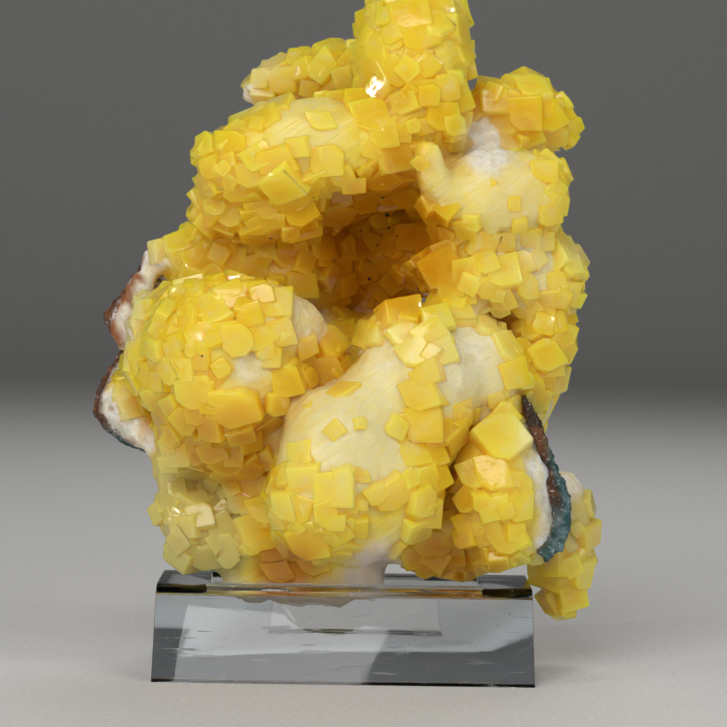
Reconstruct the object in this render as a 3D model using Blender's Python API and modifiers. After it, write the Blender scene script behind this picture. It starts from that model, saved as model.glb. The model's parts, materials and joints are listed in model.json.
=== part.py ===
"""A heulandite crystal cluster on its clear acrylic riser.

The cluster is one natural growth: mordenite fingers on a zeolite body, crusted all over with blocky
heulandite crystals. Two thin rinds of the basalt it grew on still cling to it, one at the lower right and
one over the back. It stands in the window of a riser folded from one sheet of acrylic.

The fingers are laid out on the front elevation: x to the right and z up, in millimetres, as an eye in front
of the specimen sees them against the plane y = 0, with y as the depth behind that plane. Each point is
then moved along its line of sight to its own depth. The origin is under the middle of the whole object, on
the surface that the riser stands on.
"""

import math
import random

import bmesh
import bpy
from mathutils import Euler, Matrix, Vector
from mathutils.bvhtree import BVHTree

MM = 0.001

# The front elevation's eye, in millimetres from the plane y = 0 and above the ground.
EYE_DISTANCE = 575.0
EYE_HEIGHT = 87.2

# The elevation is drawn with the eye tilted a little, in degrees, about the middle of its view (x, z).
EYE_ROLL = 0.9
VIEW_MIDDLE = (2.7, 60.9)

# The folded acrylic riser, in millimetres.
RISER_WIDTH = 74.0
RISER_MIDDLE = -0.4
RISER_HEIGHT = 17.5
RISER_TOP_DEPTH = 25.0
LEG_SLOPE = math.radians(54.5)
SHEET = 2.4
FOLD_RADIUS = 2.4
SEAT_WIDTH = 54.0
SEAT_DEPTH = 17.0
BACK_WINDOW_WIDTH = 28.5
BACK_WINDOW_MIDDLE = 1.5
BACK_WINDOW_SILL = 6.4
BACK_WINDOW_HEIGHT = 7.1

# The body's mesh, and the seed of everything that grows at random.
BODY_VOXEL = 1.5
BODY_SMOOTHING = 9
BODY_FACES = 1000
STATION_STEP = 2.5
SEED = 3

# The whole cluster's flat triangles, once the slivers between its crystals are gone.
CLUSTER_FACES = 8800

# A crystal is a low square block, tapering outwards, with some of its upright edges cut off, and its
# measures are shares of its side.
BLOCK_DEPTH = 0.8
BLOCK_GIRTH = 1.2
BLOCK_TAPER = 0.12
CORNER_CUT = 0.3
CUT_CORNERS = (0, 0, 1, 1, 2)
EYE_PULL = 0.7
LEAN = 8.0
LIFT = -0.1

# The crystals between those that stand out: how many are tried, their sides in millimetres on the front
# and on the back, how close to one another they may grow, as a share of their sides, and the y of the
# normal that parts the front from the back.
FILL_TRIES = 1500
FRONT_FILL = (4.5, 6.5)
BACK_FILL = (8.0, 11.0)
CROWDING = 0.9
FRONT_SIDE = 0.6

# Clearance between touching pieces, in millimetres.
GAP = 0.35

# The rinds of host rock, in millimetres on the front elevation: the right one runs down the lower right
# lobe as (x, z, thickness), between two depths, and the left one is an outline, (x, z), behind the left
# edges, whose depth grows towards the middle.
RIGHT_RIND = [
    (34.6, 54.6, 1.6), (36.6, 49.6, 2.2), (38.7, 44, 2.6), (40.4, 38.6, 3.4), (41.9, 33.6, 4),
    (42.6, 29, 3.6), (41.3, 25, 3.6), (38.4, 22, 3),
]
RIGHT_RIND_FRONT = -16.0
RIGHT_RIND_BACK = -2.5
LEFT_RIND = [
    (-43, 79), (-45.2, 76), (-47.6, 73.6), (-49.2, 70.6), (-48.6, 67.2), (-45.4, 64.2), (-48.4, 60.4),
    (-51, 55), (-51.2, 51), (-49, 47), (-45, 43.8), (-40, 42.4), (-33, 41), (-26, 44), (-21, 52), (-19, 62),
    (-21, 72), (-27, 80), (-35, 83), (-40.4, 82.6),
]
LEFT_RIND_DEPTH = 10.5
LEFT_RIND_SLOPE = 0.24
LEFT_RIND_THICKNESS = 2.4

# Each finger or swelling is a chain of stations (x, z, y, radius) in millimetres on the front elevation.
FINGERS = {
    "tower": [(10, 103.5, -6, 8.5), (13, 111.5, -7, 11.8), (12.6, 123, -5, 12.6), (12.8, 128.6, -3, 11)],
    "upper_left_arm": [
        (6, 105, -8, 10.5), (-2, 105.4, -11, 10.4), (-10, 104, -12, 11), (-24, 100.6, -12, 8.2),
    ],
    "arm_underside": [(-26, 92, -6, 6.8), (-12, 93, -7, 8)],
    "back_left_knob": [(-18, 115.6, 12, 5), (-12, 117.2, 12, 6.2), (-4, 118, 9, 7), (4, 118, 4, 7.6)],
    "upper_right_knob": [(28, 112, 6, 6), (35, 110.5, 7, 8.2), (40, 108.4, 9, 6.8)],
    "right_stump": [(21, 93.5, -8, 7), (27, 94.5, -11, 9.6), (35.4, 95.2, -9, 8.6)],
    "stump_foot": [(24, 85, -7, 7.5), (35, 86, -5, 8)],
    "stump_nub": [(15.2, 102.8, -21, 3.3), (16.6, 98, -19.5, 3.5), (18.4, 93, -16, 3.6)],
    "right_shelf": [(16, 80, -6, 5), (26, 78.5, -9, 8), (39.4, 78, -3, 8.8)],
    "right_flank": [(38.4, 67, -3, 7.8), (36, 57.4, -4, 7.2)],
    "centre_column": [(10, 66, -14, 7.5), (16, 57.5, -15, 12), (13, 47.5, -16, 10)],
    "column_fan": [(20, 69, -12, 6.5), (27, 59, -11, 9.5)],
    "front_finger": [(-1.6, 45, -20, 13.4), (-5, 34.5, -23, 12.6), (-8, 27.5, -20, 8)],
    "front_finger_right": [(1, 43, -20, 11), (8, 35.5, -20, 11.5), (2, 26, -18, 8)],
    "left_finger": [(-11.5, 67.5, -11, 8), (-17, 69, -14, 9.8), (-27, 64.5, -11, 15.2)],
    "left_finger_side": [(-38, 70, -4, 7.5), (-36, 60, -6, 9.6), (-27, 56, -12, 12)],
    "left_finger_low": [(-15, 57.5, -14, 7.5), (-25, 54, -14, 11)],
    "left_underside": [(-22, 46, -8, 8.5), (-31.5, 46.5, -5, 8.5)],
    "saddle": [(-4.5, 62, -8, 5.6), (-6, 55, -7, 6.6)],
    "left_edge_high": [
        (-33, 82, 6, 4), (-38.6, 83.2, 8, 3), (-40.6, 78.5, 8.4, 2.4), (-43.4, 73, 9, 3),
        (-46, 69.5, 9.4, 2.7), (-44.6, 66, 9, 2.4),
    ],
    "left_edge_low": [
        (-40, 47, 5, 4.6), (-44, 49.4, 5.8, 4.2), (-44.6, 54, 6, 5), (-47.2, 51.8, 7.2, 3.2),
        (-47, 55.4, 7.4, 2.8),
    ],
    "lower_left_skirt": [
        (-37.4, 42, 1, 4.4), (-34, 32, -2, 5.4), (-30.5, 27.5, -4, 7), (-32, 22.5, -3, 4.4),
    ],
    "skirt_right": [(-30, 24.5, -3, 6), (-20, 25, -4, 7)],
    "foot": [(-20, 18.5, -1, 6), (-8, 18.2, -1, 6.4), (1.5, 18.4, -1, 6)],
    "foot_right": [(12, 24, -6, 6), (23, 22.4, -4, 5.6)],
    "lower_right_lobe": [(30, 45.5, -15, 6.5), (29, 34, -15, 9.6), (30, 25.6, -15, 6.4)],
    "lobe_shoulder": [(31.5, 48, -12, 4.6), (36, 40, -12, 5), (37.6, 31, -11, 5.2), (36.5, 26, -11, 4.6)],
    "finger_neck": [(10, 62, -14, 6.4), (7, 56.5, -16, 7.6), (3.6, 51, -18, 9)],
    "finger_gap": [(-13, 50.5, -7, 6.4), (-12, 43, -9, 7)],
    "behind_lobe": [(20.5, 49, -5, 7.4), (21, 38, -7, 7.6), (21, 29, -8, 6.6)],
    "overhang": [(42.8, 36.4, 3, 4.8), (43.8, 31, 4, 6), (43, 21, 6, 6.8), (42.4, 13.4, 8, 4.6)],
    "overhang_link": [(30, 36, 2, 8), (40, 31, 4, 7)],
    "back_upper": [(-20, 88, 7, 12), (-8, 97, 8, 12), (6, 104, 8, 12), (24, 100, 7, 12)],
    "back_left": [(-22, 84, 8, 12), (-28, 66, 9, 12), (-24, 46, 6, 12), (-18, 32, 2, 10)],
    "back_right": [(26, 98, 7, 12), (31, 76, 8, 12), (29, 58, 6, 12), (28, 40, 2, 11)],
    "back_low": [(-18, 34, 0, 10), (0, 30, -3, 11), (18, 32, -3, 11), (28, 36, 0, 9)],
    "cave_wall": [(-14, 80, 8, 9.5), (4, 82, 26, 9), (22, 84, 10, 8)],
    "cave_floor": [(-6, 62, 14, 11), (8, 58, 10, 11), (18, 64, 8, 9)],
    "cave_top": [(2, 98, 20, 9), (8, 84, 26, 9), (4, 70, 24, 9)],
}

# The crystals that stand out, by the part that they crust: (x, z, edge, turn), where x and z place the
# crystal on the front elevation, edge is its side in millimetres and turn its slant there in degrees.
STANDING_CRYSTALS = {
    "tower": [
        (-1, 128.8, 4.4, 30), (3.6, 129.2, 6, 8), (9, 126.2, 5, 60), (13.6, 125.8, 6, 30),
        (12.2, 130, 7.5, 15), (18, 132, 6, 5), (21.8, 131.6, 6, 0), (9.4, 119, 6.4, 20),
        (19.2, 116, 5.8, 15), (18.4, 110, 6.6, 10), (11.4, 113.2, 5, 25), (3, 122.6, 5, 10),
        (5.8, 115.6, 5.6, 50), (21, 105.6, 5, 5), (12, 101.8, 5.8, 22), (15.6, 120.4, 4.6, 40),
        (7, 106.6, 5.6, 15), (24, 123.6, 4.4, 10), (0.5, 121.6, 5, 35),
    ],
    "upper_left_arm": [
        (-28.8, 104.4, 5.2, 25), (-21.4, 109.2, 5.6, 20), (-16, 109.6, 5.2, 40), (-5.8, 109.2, 4.2, 15),
        (1.4, 113.2, 5.8, 12), (4.4, 110.4, 6, 25), (-13.6, 97.2, 8, 38), (-4.2, 101, 6, 10),
        (-1.6, 98.6, 5.5, 30), (-9.6, 91.2, 6.4, 40), (-16.4, 92, 4.4, 50), (-2.2, 94.8, 5.6, 20),
        (2.8, 92.8, 5, 15), (-27.8, 100.2, 4.6, 15), (-23.8, 105.2, 5.6, 5), (-22.6, 95.2, 5, 0),
        (-26.4, 92.6, 5, 20), (-19, 92.4, 4.6, 10), (-30.4, 103.2, 4.4, 40), (-29.6, 96.6, 4, 10),
        (-18.5, 101.5, 5, 30), (-10.5, 104.2, 4.6, 12),
    ],
    "cave": [
        (-24.6, 84.6, 5, 3), (-11.6, 85.8, 6, 5), (-5.8, 83.8, 6, 8), (-0.8, 83.2, 4.6, 0),
        (-16.8, 83.4, 4.6, 5), (-34.2, 84.8, 6, 25), (-20, 79.6, 5, 5), (-10, 76.6, 5.8, 5),
        (-3, 74.6, 6, 30), (6, 90, 5, 20), (3, 79, 5.4, 15), (8.5, 77.5, 5, 35),
    ],
    "back_left_knob": [
        (-18.6, 121.4, 4.2, 20), (-13.2, 117.2, 6, 5), (-5, 120, 7, 50), (-10.8, 122.4, 5, 15),
        (-17.6, 117.6, 4.6, 0), (-1, 117.6, 5, 10),
    ],
    "upper_right_knob": [
        (27.8, 118.6, 6.4, 15), (28.6, 113.2, 5.6, 5), (35.6, 110.8, 7.4, 10), (40, 110, 6, 35),
        (42.2, 114.4, 4.4, 20), (45.2, 108, 4, 40), (44.6, 104.4, 4, 15), (28.2, 106.2, 5, 45),
        (33, 116.6, 5, 5), (38, 116.6, 4.6, 0),
    ],
    "right_side": [
        (18, 86.6, 5.4, 4), (12, 86.2, 6, 0), (23.4, 88, 5.6, 3), (36, 86.2, 4.8, 8), (18, 80.2, 8, 30),
        (30.8, 85.4, 5, 12), (20.6, 76.2, 6, 10), (27, 81.2, 5, 25), (44.2, 80.2, 4.8, 5),
        (43.8, 75, 5.2, 3), (48.2, 83.4, 4.8, 30), (45.8, 70.6, 4.2, 15), (34.4, 81, 4.8, 20),
        (35.2, 76.2, 5.6, 5), (30.8, 73.6, 5, 30), (39.6, 73.6, 4.4, 10), (39, 85.6, 4.6, 0),
        (42, 92.6, 4.6, 10), (38.8, 99, 5, 0), (40, 90.6, 4.8, 15), (39.2, 62.6, 6.8, 25),
        (43.8, 56.6, 6.6, 8), (40.6, 60.2, 4.6, 10), (41, 68.6, 5, 20), (36, 67.6, 4.6, 30),
    ],
    "left_finger": [
        (-38, 78.6, 4.8, 30), (-33.6, 74.6, 4.6, 20), (-31.2, 76, 4.4, 5), (-23.8, 74.2, 5.8, 25),
        (-14.8, 72.8, 6.4, 5), (-19, 80.2, 5, 15), (-22.6, 65.6, 6.6, 5), (-13.6, 67.2, 6, 15),
        (-16, 62.4, 5.2, 3), (-30, 61.6, 5, 0), (-30, 66.4, 5.4, 30), (-36.4, 67.6, 5, 10),
        (-41.8, 63.6, 5.6, 25), (-45.4, 59, 6, 20), (-40.6, 53, 6.2, 15), (-31.2, 55.4, 7, 8),
        (-22.6, 52.2, 8.6, 15), (-32.8, 49.6, 6, 45), (-34.8, 43.2, 6.4, 10), (-27.4, 43.6, 5.8, 25),
        (-24.8, 40.6, 5.4, 30), (-20.2, 45.2, 4.8, 20), (-12.8, 57, 5.8, 20), (-14.8, 53, 5.4, 10),
        (-39, 71.6, 4.6, 20), (-27, 70.6, 5, 35), (-35, 63.6, 4.8, 20), (-38, 57.6, 5.4, 5),
        (-27, 78.6, 4.8, 30), (-20, 70.6, 5.4, 15),
    ],
    "saddle": [(-3.8, 65.2, 7, 30), (-5, 60.2, 7, 15), (-1.4, 59.2, 5.4, 40), (-8.6, 64.4, 4.8, 20)],
    "lower_left_skirt": [
        (-33.2, 28.2, 5.4, 12), (-29.8, 30.2, 5.4, 5), (-25.8, 28, 6, 25), (-24.6, 24, 5.4, 50),
        (-34, 22.4, 5.4, 15), (-34.6, 35.6, 3.6, 20), (-29, 21.6, 5, 20), (-22, 32.6, 4.4, 10),
    ],
    "front_finger": [
        (-18.6, 37, 6.8, 10), (-9.2, 37, 6.4, 5), (-3.4, 35.8, 7.2, 3), (2.2, 38.2, 2.8, 5),
        (-3, 47.6, 3.4, 45), (8.2, 35, 6.8, 42), (1, 28, 4.4, 5), (-18.6, 26.8, 7.6, 20),
        (-14.8, 24.8, 6.8, 10), (-8, 24.6, 7.8, 8), (-7.2, 20.8, 6, 20), (-14.4, 19.6, 5.4, 30),
        (-12.8, 32.6, 6, 0), (-17, 31.6, 6, 15), (-17.6, 41.6, 5, 30), (-10, 42.6, 4.6, 10),
        (-5, 30.6, 5, 5),
    ],
    "centre_column": [
        (16.4, 66.4, 8.6, 30), (13.6, 63, 6.2, 35), (19, 63.2, 5.4, 25), (10.4, 70.6, 7, 20),
        (14.8, 55, 7.6, 28), (14.8, 48.8, 7.4, 5), (16, 43.2, 6.4, 15), (16.8, 38.2, 6.4, 25),
        (14.4, 33.4, 6, 10), (13.2, 27.6, 6.8, 15), (16.8, 25, 7, 40), (17.4, 21.6, 6, 50),
        (20.2, 28.8, 5.4, 10), (32.8, 59, 6, 15), (24.2, 50, 3.8, 5), (29.4, 53.4, 3.8, 15),
    ],
    "lower_right_lobe": [
        (30.8, 46.4, 9, 42), (28.6, 38.6, 7.4, 10), (25.4, 38.6, 6, 30), (23.4, 42.4, 5, 20),
        (24.2, 28.4, 6.4, 20), (28.6, 31.8, 6, 15), (32, 25.6, 5.8, 40), (29.4, 20.6, 7.2, 30),
        (26, 23.6, 5.8, 50), (34, 31.6, 5.8, 10), (34.4, 19, 6.4, 45), (24, 33.6, 5.6, 45),
    ],
    "foot_right": [(15.5, 20, 5, 20), (20, 18.6, 5.4, 10), (24.6, 19, 5, 35), (27, 22.4, 5, 10)],
    "overhang": [
        (39.8, 13, 6, 10), (45, 13.6, 6, 20), (47.8, 26.4, 7, 15), (49, 21.6, 5.6, 30), (46.6, 18.6, 6, 5),
        (48, 32.6, 5.2, 30), (42.4, 9.6, 4.6, 20),
    ],
}

# The fingers that no crust thickens, and the crust's thickness on the others in millimetres.
BARE_FINGERS = {
    "right_stump", "stump_nub", "left_edge_high", "left_edge_low", "foot", "cave_wall", "cave_top",
    "finger_neck", "lobe_shoulder",
}
CRUST = 1.2

# Where the mordenite fingers show bare, as (x, z, radius) in millimetres on the front elevation.
BARE_PATCHES = [
    (-4, 46.5, 12), (4, 41, 8), (2, 52, 9), (9, 60, 7), (22, 61, 8), (27, 55, 6), (-8, 108.5, 7),
    (-1, 106, 6), (26, 96, 9.5), (33, 96, 8), (17.5, 98, 5), (-10.5, 68.5, 4), (-13, 77.5, 5),
    (-18, 57.5, 4.5), (-46, 72, 4), (-40, 81.5, 5), (-44, 77, 3.6), (-47, 69, 3.4), (-48, 52, 4),
    (-49, 48, 4), (-42, 46.5, 4), (-36, 38, 4), (-8, 15, 9), (-20, 15, 8), (2, 15, 8), (8, 21, 4.5),
    (37, 42, 5), (39, 33, 5), (27, 103, 4), (38, 81.5, 3.5), (46, 33, 4), (-50, 74, 5), (-47, 80, 5),
    (-51, 50, 5), (-50, 56, 4), (-47, 65, 3), (40, 27, 3.5), (44, 38, 3.5), (-30, 101, 2.5),
    (15, 103.5, 4.4), (17, 96, 4), (-8, 68, 5), (-5.5, 66.5, 4), (-9.5, 73, 3.6), (-21.5, 57.5, 3.2),
    (6.5, 35, 5), (7.5, 29, 5), (3, 26, 4), (21, 119, 4.6), (-39, 40, 3.4), (5, 55, 6), (-2, 54, 5),
    (43, 36, 4.4), (45, 93, 4), (-48.6, 69, 3.4), (-43, 80, 3.4),
]

def rolled(x, z, angle):
    """The point (x, z) turned by the angle, in degrees, about the middle of the view."""
    turn = Matrix.Rotation(math.radians(angle), 2)
    return turn @ (Vector((x, z)) - Vector(VIEW_MIDDLE)) + Vector(VIEW_MIDDLE)


def sight(x, z, y):
    """The point, in metres, that stands at depth y on the line of sight through (x, z) of the elevation."""
    k = (EYE_DISTANCE + y) / EYE_DISTANCE
    x, z = rolled(x, z, EYE_ROLL)
    return Vector((x * k, y, EYE_HEIGHT + (z - EYE_HEIGHT) * k)) * MM


def elevation(point):
    """The (x, z) on the front elevation, in millimetres, at which the eye sees a point in metres."""
    x, y, z = point / MM
    k = (EYE_DISTANCE + y) / EYE_DISTANCE
    return rolled(x / k, EYE_HEIGHT + (z - EYE_HEIGHT) / k, -EYE_ROLL)


def collection(name):
    """A new collection in the scene."""
    made = bpy.data.collections.new(name)
    bpy.context.scene.collection.children.link(made)
    return made


def new_object(name, bm, where):
    """An object called name in the collection where, made from bm, which is freed."""
    mesh = bpy.data.meshes.new(name)
    bm.to_mesh(mesh)
    bm.free()
    made = bpy.data.objects.new(name, mesh)
    where.objects.link(made)
    return made


def settled(thing):
    """The thing's mesh with its modifiers carried out."""
    bpy.context.view_layer.update()
    shown = thing.evaluated_get(bpy.context.evaluated_depsgraph_get())
    return bpy.data.meshes.new_from_object(shown)


def settle(thing):
    """Carries out the thing's modifiers for good."""
    mesh = settled(thing)
    thing.modifiers.clear()
    thing.data = mesh


def combine(thing, other, operation):
    """Joins other to the thing, or cuts it out, for good. EXACT loses most of so crowded a crust."""
    boolean = thing.modifiers.new(other.name, "BOOLEAN")
    boolean.operation = operation
    boolean.solver = "MANIFOLD"
    boolean.object = other
    settle(thing)


def as_cutter(thing):
    """Shows the thing as a wire frame that stays out of the render."""
    thing.hide_render = True
    thing.display_type = "WIRE"
    return thing


def keep_largest(thing):
    """Removes every chip and closed pocket, and leaves the thing's largest connected skin."""
    bm = bmesh.new()
    bm.from_mesh(thing.data)
    unseen = set(bm.verts)
    skins = []
    while unseen:
        edge_of_growth = [unseen.pop()]
        skin = list(edge_of_growth)
        while edge_of_growth:
            for edge in edge_of_growth.pop().link_edges:
                for vertex in edge.verts:
                    if vertex in unseen:
                        unseen.remove(vertex)
                        edge_of_growth.append(vertex)
                        skin.append(vertex)
        skins.append(skin)
    largest = max(skins, key=len)
    for skin in skins:
        if skin is not largest:
            bmesh.ops.delete(bm, geom=skin, context="VERTS")
    bm.to_mesh(thing.data)
    bm.free()


def stations(chain):
    """The chain's spheres (centre, radius) in metres, at steps that a remesh can join smoothly."""
    for (x0, z0, y0, r0), (x1, z1, y1, r1) in zip(chain, chain[1:]):
        steps = max(1, round(math.dist((x0, z0, y0), (x1, z1, y1)) / STATION_STEP))
        for i in range(steps + 1):
            t = i / steps
            centre = sight(x0 + t * (x1 - x0), z0 + t * (z1 - z0), y0 + t * (y1 - y0))
            yield centre, (r0 + t * (r1 - r0)) * MM


def zeolite_body(name, where):
    """The zeolite body with its fingers: every chain's spheres melted into one closed skin."""
    bm = bmesh.new()
    for finger, chain in FINGERS.items():
        inset = 0 if finger in BARE_FINGERS else CRUST * MM
        for centre, radius in stations(chain):
            at = Matrix.Translation(centre)
            bmesh.ops.create_icosphere(bm, subdivisions=2, radius=radius - inset, matrix=at)
    body = new_object(name, bm, where)
    melt = body.modifiers.new("melt", "REMESH")
    melt.mode = "VOXEL"
    melt.voxel_size = BODY_VOXEL * MM
    soften = body.modifiers.new("soften", "SMOOTH")
    soften.factor = 0.5
    soften.iterations = BODY_SMOOTHING
    settle(body)
    return body


def coarsen(thing, triangles):
    """Brings the thing's skin down to about this many flat triangles."""
    bm = bmesh.new()
    bm.from_mesh(thing.data)
    bmesh.ops.triangulate(bm, faces=bm.faces)
    bm.to_mesh(thing.data)
    bm.free()
    flatten = thing.modifiers.new("flatten", "DECIMATE")
    flatten.ratio = min(1.0, triangles / len(thing.data.polygons))
    settle(thing)


def block(cut_corners):
    """The mesh of a crystal with a side of 1, with that many of its upright edges cut off."""
    bm = bmesh.new()
    bmesh.ops.create_cube(bm, size=1.0)
    for vertex in bm.verts:
        if vertex.co.z > 0:
            vertex.co *= 1 - BLOCK_TAPER
        vertex.co *= BLOCK_GIRTH
        vertex.co.z = math.copysign(BLOCK_DEPTH / 2, vertex.co.z)
    upright = [e for e in bm.edges if e.verts[0].co.z * e.verts[1].co.z < 0]
    upright.sort(key=lambda e: e.verts[0].co.x * e.verts[0].co.y)
    if cut_corners:
        bmesh.ops.bevel(bm, geom=upright[-cut_corners:], offset=CORNER_CUT, affect="EDGES")
    mesh = bpy.data.meshes.new(f"block_{cut_corners}")
    bm.to_mesh(mesh)
    bm.free()
    return mesh


def root_on(skin, x, z):
    """Where the crystal at (x, z) on the elevation roots on the skin, and the skin's normal there."""
    eye = sight(x, z, -EYE_DISTANCE / 2)
    point, normal, _, _ = skin.ray_cast(eye, sight(x, z, 0) - eye)
    if point:
        return point, normal
    beside = [skin.find_nearest(sight(x, z, y)) for y in range(-30, 31, 2)]
    point, normal, _, _ = min(beside, key=lambda hit: hit[3])
    return point, normal


def crystal_place(point, normal, eye_pull, turn, edge, rng):
    """The matrix of a crystal rooted at the point, facing along the normal and partly towards the eye."""
    towards_eye = (sight(0, EYE_HEIGHT, -EYE_DISTANCE) - point).normalized()
    facing = (normal + towards_eye * eye_pull).normalized()
    lean = Euler((math.radians(rng.gauss(0, LEAN)), math.radians(rng.gauss(0, LEAN)), math.radians(turn)))
    turned = facing.to_track_quat("Z", "Y").to_matrix() @ lean.to_matrix()
    at = Matrix.Translation(point + facing * edge * LIFT * MM)
    return at @ turned.to_4x4() @ Matrix.Scale(edge * MM, 4)


def is_bare(point):
    """Whether the growth is bare at this point, seen from the front."""
    x, z = elevation(point)
    return any(math.dist((x, z), (cx, cz)) < radius for cx, cz, radius in BARE_PATCHES)


def crystals(body):
    """Every crystal as (place, cut corners): the ones that stand out, then the ones between them."""
    rng = random.Random(SEED)
    skin = BVHTree.FromPolygons([v.co for v in body.data.vertices], [p.vertices for p in body.data.polygons])
    grown = []
    rooted = []
    for group in STANDING_CRYSTALS.values():
        for x, z, edge, turn in group:
            point, normal = root_on(skin, x, z)
            rooted.append((point, edge))
            grown.append((crystal_place(point, normal, EYE_PULL, turn, edge, rng), rng.choice(CUT_CORNERS)))
    areas = [p.area for p in body.data.polygons]
    for polygon in rng.choices(body.data.polygons, weights=areas, k=FILL_TRIES):
        on_front = polygon.normal.y < FRONT_SIDE
        edge = rng.uniform(*(FRONT_FILL if on_front else BACK_FILL))
        point = polygon.center.copy()
        crowded = any((point - at).length < CROWDING * (edge + other) / 2 * MM for at, other in rooted)
        if crowded or is_bare(point) or point.z < RISER_HEIGHT * MM:
            continue
        rooted.append((point, edge))
        place = crystal_place(point, polygon.normal, 0, rng.uniform(0, 90), edge, rng)
        grown.append((place, rng.choice(CUT_CORNERS)))
    return grown


def layers_apart(grown):
    """Deals the crystals into layers in which none touches another."""
    layers = []
    for place, cut_corners in grown:
        reach = place.median_scale
        for layer in layers:
            if all((place.translation - o.translation).length > reach + o.median_scale for o, _ in layer):
                layer.append((place, cut_corners))
                break
        else:
            layers.append([(place, cut_corners)])
    return layers


def crystal_layers(body, where):
    """All the crystals that grow on the body, as meshes of separate blocks, a layer each."""
    blocks = [block(cut_corners) for cut_corners in range(max(CUT_CORNERS) + 1)]
    made = []
    for number, layer in enumerate(layers_apart(crystals(body))):
        bm = bmesh.new()
        for place, cut_corners in layer:
            before = len(bm.verts)
            bm.from_mesh(blocks[cut_corners])
            bm.verts.ensure_lookup_table()
            bmesh.ops.transform(bm, matrix=place, verts=bm.verts[before:])
        made.append(as_cutter(new_object(f"crystals_{number}", bm, where)))
    return made


def right_rind(name, where, clearance=0.0):
    """The thin rind down the lower right lobe, or with a clearance the room that it needs."""
    rows = len(RIGHT_RIND)
    bm = bmesh.new()
    bmesh.ops.create_grid(bm, x_segments=rows - 1, y_segments=4, size=0.5)
    inner = {}
    for vertex in bm.verts:
        along = round((vertex.co.x + 0.5) * (rows - 1))
        inner[vertex] = (along, vertex.co.y + 0.5)
    skin = bmesh.ops.extrude_face_region(bm, geom=list(bm.faces))
    outer = [v for v in skin["geom"] if isinstance(v, bmesh.types.BMVert)]
    for vertex in outer:
        along = round((vertex.co.x + 0.5) * (rows - 1))
        place_on_rind(vertex, along, vertex.co.y + 0.5, 0.5, clearance)
    for vertex, (along, depth) in inner.items():
        place_on_rind(vertex, along, depth, -0.5, clearance)
    bmesh.ops.recalc_face_normals(bm, faces=bm.faces)
    return new_object(name, bm, where)


def place_on_rind(vertex, along, depth, side, clearance):
    """Moves a vertex to its station along the right rind, on its inner or outer side."""
    x, z, thickness = RIGHT_RIND[along]
    before = Vector(RIGHT_RIND[max(along - 1, 0)][:2])
    after = Vector(RIGHT_RIND[min(along + 1, len(RIGHT_RIND) - 1)][:2])
    run = (after - before).normalized()
    outwards = Vector((-run.y, run.x))
    ends = {0: -clearance, len(RIGHT_RIND) - 1: clearance}.get(along, 0.0)
    flat = Vector((x, z)) + outwards * side * (thickness + 2 * clearance) + run * ends
    span = RIGHT_RIND_BACK - RIGHT_RIND_FRONT + 2 * clearance
    uneven = 0.9 * math.sin(2.1 * along) * (1 - depth)
    vertex.co = sight(flat.x, flat.y, RIGHT_RIND_FRONT - clearance + uneven + depth * span)


def left_rind(name, where, clearance=0.0):
    """The rind behind the left edges, or with a clearance the room that it needs and all behind it."""
    middle = sum((Vector(corner) for corner in LEFT_RIND), Vector((0, 0))) / len(LEFT_RIND)
    thickness = LEFT_RIND_THICKNESS + 40 * clearance
    bm = bmesh.new()
    bmesh.ops.create_circle(bm, cap_ends=True, segments=len(LEFT_RIND), radius=1.0)
    (face,) = bm.faces
    for vertex, corner in zip(list(face.verts), LEFT_RIND):
        away = Vector(corner) - middle
        x, z = Vector(corner) + away.normalized() * clearance * 3
        y = LEFT_RIND_DEPTH - clearance + LEFT_RIND_SLOPE * (x - LEFT_RIND[0][0])
        vertex.co = sight(x, z, y)
    skin = bmesh.ops.extrude_face_region(bm, geom=[face])
    back = [v for v in skin["geom"] if isinstance(v, bmesh.types.BMVert)]
    bmesh.ops.translate(bm, verts=back, vec=(0, thickness * MM, 0))
    bmesh.ops.triangulate(bm, faces=[f for f in bm.faces if len(f.verts) > 4])
    bmesh.ops.recalc_face_normals(bm, faces=bm.faces)
    return new_object(name, bm, where)


def box_cutter(name, low, high, where):
    """A cutter that fills the box between two corners given in millimetres."""
    bm = bmesh.new()
    bmesh.ops.create_cube(bm, size=1.0)
    size = [b - a for a, b in zip(low, high)]
    middle = [(a + b) / 2 for a, b in zip(low, high)]
    bmesh.ops.scale(bm, vec=size, verts=bm.verts)
    bmesh.ops.translate(bm, vec=middle, verts=bm.verts)
    bmesh.ops.scale(bm, vec=(MM, MM, MM), verts=bm.verts)
    return as_cutter(new_object(name, bm, where))


def riser_section():
    """The middle of the folded sheet as (y, z) in millimetres, from below one foot to below the other."""
    top = RISER_HEIGHT - SHEET / 2
    corner = RISER_TOP_DEPTH / 2 - SHEET / 2 * math.tan(LEG_SLOPE / 2)
    fold = (corner - FOLD_RADIUS * math.tan(LEG_SLOPE / 2), top - FOLD_RADIUS)
    half = [(corner + (top + SHEET) / math.tan(LEG_SLOPE), -SHEET)]
    for step in range(5):
        angle = math.pi / 2 - LEG_SLOPE * (1 - step / 4)
        half.append((fold[0] + FOLD_RADIUS * math.cos(angle), fold[1] + FOLD_RADIUS * math.sin(angle)))
    return [(-y, z) for y, z in half] + [(y, z) for y, z in reversed(half)]


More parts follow.
